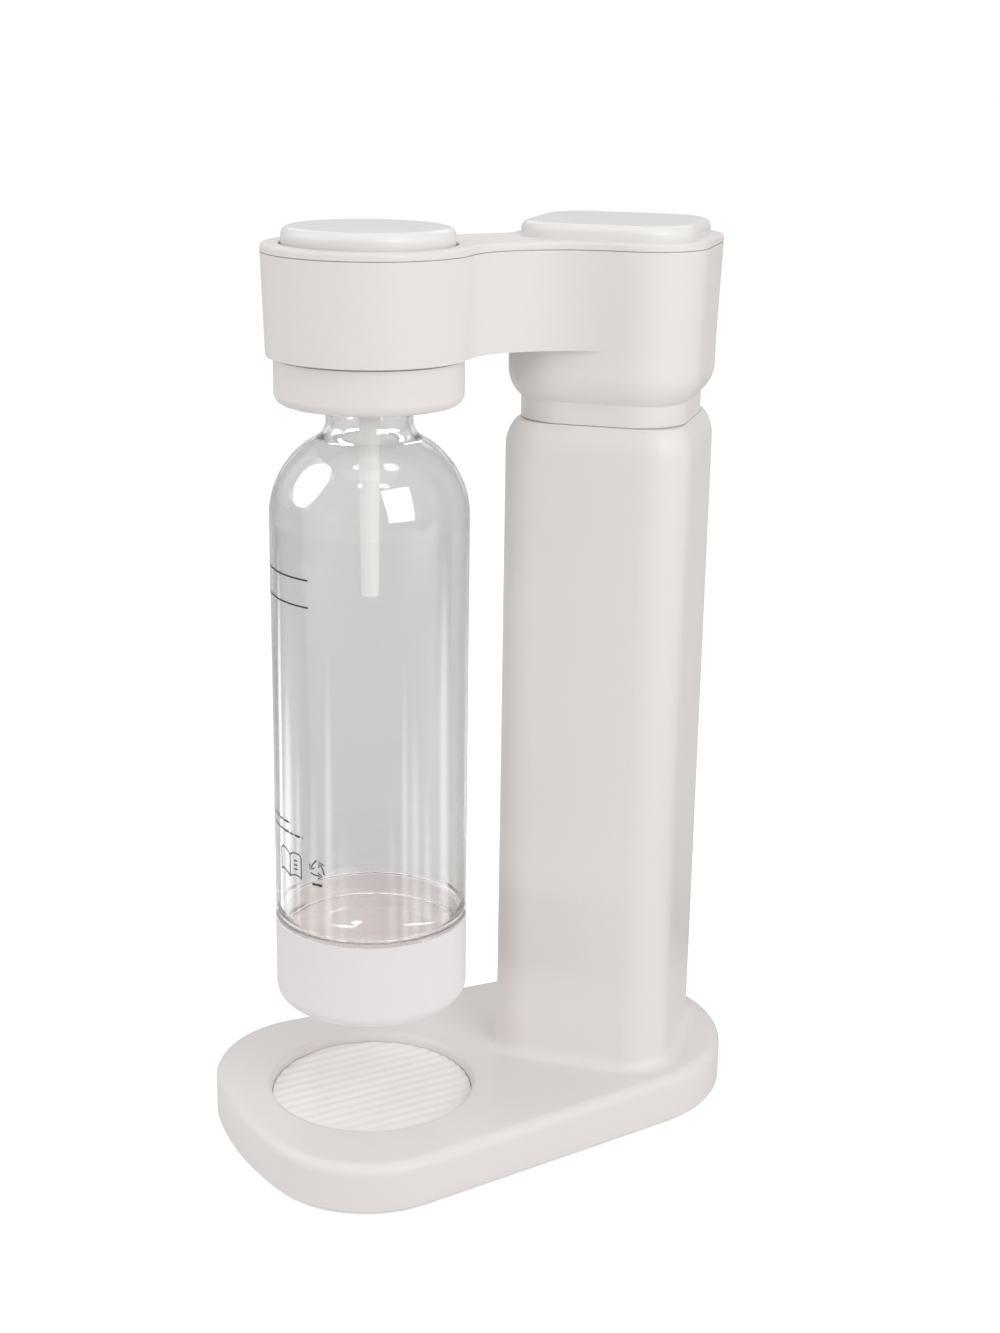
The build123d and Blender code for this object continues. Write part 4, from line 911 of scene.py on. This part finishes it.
def softbox(name, azimuth, elevation, distance, wide, tall, power, soft=True, glint=True, aim=(0, 0, 0.22),
            shape="RECTANGLE"):
    """A flat light that faces the object; azimuth counts from the front, towards +X."""
    data = bpy.data.lights.new(name, "AREA")
    data.shape = shape
    data.size, data.size_y = wide, tall
    data.energy = power
    light = bpy.data.objects.new(name, data)
    a, e = math.radians(azimuth), math.radians(elevation)
    back = Vector((math.sin(a) * math.cos(e), -math.cos(a) * math.cos(e), math.sin(e)))
    light.location = Vector(aim) + back * distance
    light.rotation_euler = (-back).to_track_quat("-Z", "Y").to_euler()
    light.visible_diffuse = soft
    light.visible_glossy = glint
    light.visible_transmission = glint and soft
    bpy.context.scene.collection.objects.link(light)
    return light


softbox("key_right", CAMERA_AZIMUTH + 38, 27, 1.5, 0.88, 1.1, 8.3)
softbox("fill_left", CAMERA_AZIMUTH - 89, 33, 1.6, 1.1, 1.3, 5.2)
softbox("overhead", CAMERA_AZIMUTH, 85, 1.5, 1.4, 1.4, 4.2)
softbox("low_left", CAMERA_AZIMUTH - 65, 2, 1.2, 0.8, 0.3, 2.5, glint=False, aim=(0, 0, 0.06))
softbox("low_right", CAMERA_AZIMUTH + 55, 3, 1.2, 0.8, 0.3, 1.6, glint=False, aim=(0, 0.02, 0.06))
glint_right = softbox("glint_right", CAMERA_AZIMUTH + 38, 27, 1.49, 0.88, 1.1, 24.0, soft=False)
glint_left = softbox("glint_left", CAMERA_AZIMUTH - 86, 33, 1.59, 1.1, 1.3, 30.0, soft=False,
                     shape="ELLIPSE")
softbox("back_glow", CAMERA_AZIMUTH + 180, 35, 2.0, 1.8, 0.8, 5.5, soft=False)
print("lights placed: 8")

# %% [markdown]
# The two glints and the sheet of light below are there for the clear bottle alone. Light linking says so:
# each light names a collection, and only the pieces in it receive that light. Without it the satin column
# would show hot bands.

# %% Light that only the bottle receives
bottle_only = bpy.data.collections.new("bottle_only")
bottle_only.objects.link(bottle)
for light in (glint_right, glint_left):
    light.light_linking.receiver_collection = bottle_only
print("linked lights: 2")

# %% [markdown]
# A studio table reflects in the clear wall as tall streaks that end in points, like flames. A sheet of light
# on the table round the bottle gives them. It stays out of the picture and only the bottle receives it.
# Each streak has a direction, a width, a reach and a strength, and narrows towards its far end; every point
# of the sheet stores the strongest of them in an attribute that its material reads.

# %% Streak sheet
STREAKS = ((-124, 6, 1.3, 1.0), (-107, 13, 0.92, 1.0), (-100, 34, 1.25, 0.28), (-88, 6, 0.76, 0.9),
           (-66, 10, 0.64, 0.7), (-45, 6, 0.92, 1.0), (-29, 9, 0.53, 0.6), (0, 34, 0.46, 0.4),
           (27, 8, 0.56, 0.7), (42, 5, 0.92, 1.0), (55, 8, 0.8, 0.95), (71, 8, 0.68, 0.85),
           (85, 34, 1.2, 0.3), (96, 10, 1.3, 1.0), (119, 8, 1.3, 1.0))
SHEET_NEAR, SHEET_FAR, SHEET_TURN = 0.29, 1.3, 134
SHEET_STEPS = 30
SHEET_LIFT = 0.0004
SHEET_STRENGTH = 5.2
FADE_PART = 0.5


def streak_level(turn, reach_out):
    """Strength of the sheet at a direction in degrees from the camera and a distance in metres."""
    best = 0.0
    for middle, width, reach, level in STREAKS:
        along_it = min(reach_out / reach, 1.0)
        narrow = width * (1.15 - 0.8 * along_it)
        fade = min(max((1.0 - along_it) / FADE_PART, 0.0), 1.0)
        across_it = math.exp(-((turn - middle) / narrow) ** 2)
        best = max(best, level * across_it * fade * fade * (3 - 2 * fade))
    return best


sheet_mesh = bpy.data.meshes.new("streak_sheet")
bm = bmesh.new()
glow_layer = bm.verts.layers.float.new("glow")
turns = range(-SHEET_TURN, SHEET_TURN + 1)
sheet_rows = []
for step in range(SHEET_STEPS + 1):
    out = SHEET_NEAR + (SHEET_FAR - SHEET_NEAR) * step / SHEET_STEPS
    row = []
    for turn in turns:
        way = math.radians(CAMERA_AZIMUTH + turn)
        vert = bm.verts.new((bottle_x + out * math.sin(way), bottle_y - out * math.cos(way), SHEET_LIFT))
        vert[glow_layer] = streak_level(turn, out)
        row.append(vert)
    sheet_rows.append(row)
for a, b in zip(sheet_rows, sheet_rows[1:]):
    for k in range(len(a) - 1):
        bm.faces.new((a[k], b[k], b[k + 1], a[k + 1]))
bm.to_mesh(sheet_mesh)
bm.free()
print("streaks:", len(STREAKS))

# %% [markdown]
# The sheet's material only gives light, as strong as the attribute says. The sheet then stays out of every
# ray except reflections.

# %% Glow of the sheet
glow = bpy.data.materials.new("sheet_glow")
glow.use_nodes = True
tree, links = glow.node_tree.nodes, glow.node_tree.links
tree.remove(tree["Principled BSDF"])
sheet_read = add(tree, "ShaderNodeAttribute", attribute_name="glow")
sheet_level = add(tree, "ShaderNodeMath", operation="MULTIPLY")
sheet_level.inputs[1].default_value = SHEET_STRENGTH
sheet_light = add(tree, "ShaderNodeEmission")
links.new(sheet_read.outputs["Fac"], sheet_level.inputs[0])
links.new(sheet_level.outputs[0], sheet_light.inputs["Strength"])
links.new(sheet_light.outputs["Emission"], tree["Material Output"].inputs["Surface"])
sheet_mesh.materials.append(glow)
sheet = bpy.data.objects.new("streak_sheet", sheet_mesh)
sheet.visible_camera = sheet.visible_diffuse = sheet.visible_transmission = sheet.visible_shadow = False
bpy.context.scene.collection.objects.link(sheet)
sheet.light_linking.receiver_collection = bottle_only
print("sheet reaches from", SHEET_NEAR, "to", SHEET_FAR, "m")

# %% [markdown]
# The camera looks from the right front and a little above, near enough for the top and the foot to show
# their perspective. It is placed by the point it aims at, a distance, a tilt and a slight roll, since those
# are easier to adjust than a place and three angles. The standard view keeps the whites clean.

# %% Camera
AIM = Vector((0.0285, -0.0089, 0.2310))
DISTANCE = 0.915
TILT = math.radians(17.15)
ROLL = math.radians(0.88)
SENSOR = 36
LENS = 55.14
camera = bpy.data.objects.new("camera", bpy.data.cameras.new("camera"))
bpy.context.scene.collection.objects.link(camera)
heading = math.radians(CAMERA_AZIMUTH)
back = Vector((math.sin(heading) * math.cos(TILT), -math.cos(heading) * math.cos(TILT), math.sin(TILT)))
camera.location = AIM + back * DISTANCE
facing = (-back).to_track_quat("-Z", "Y").to_matrix().to_4x4() @ Matrix.Rotation(ROLL, 4, "Z")
camera.rotation_euler = facing.to_euler()
camera.data.sensor_width = SENSOR
camera.data.lens = LENS
camera.data.clip_start = 0.01
bpy.context.scene.camera = camera
bpy.context.scene.view_settings.view_transform = "Standard"
print("camera at", [round(v, 3) for v in camera.location])

# %% [markdown]
# Two soft windows also mirror in the bottle's floor. A mirror sends the view on at the angle at which it
# came, so each small light stands on the view's line after it has bounced off a chosen spot of that floor.

# %% Windows in the bottle's floor
GLINT_AWAY = 0.5
right = Vector((math.cos(heading), math.sin(heading), 0))
onward = Vector((-math.sin(heading), math.cos(heading), 0))
floor_glints = (("floor_glint_left", -0.0165, 0.007, 0.028, 0.02, 0.012),
                ("floor_glint_right", 0.031, 0.002, 0.036, 0.026, 0.02))
for name, aside, beyond, wide, tall, power in floor_glints:
    spot_on_floor = Vector((bottle_x, bottle_y, FLOOR_Z)) + right * aside + onward * beyond
    view = (spot_on_floor - camera.location).normalized()
    bounced = Vector((view.x, view.y, -view.z))
    data = bpy.data.lights.new(name, "AREA")
    data.shape = "ELLIPSE"
    data.size, data.size_y = wide, tall
    data.energy = power
    light = bpy.data.objects.new(name, data)
    light.location = spot_on_floor + bounced * GLINT_AWAY
    light.rotation_euler = bounced.to_track_quat("Z", "Y").to_euler()
    light.visible_camera = light.visible_diffuse = False
    light.light_linking.receiver_collection = bottle_only
    bpy.context.scene.collection.objects.link(light)
print("windows in the floor:", len(floor_glints))
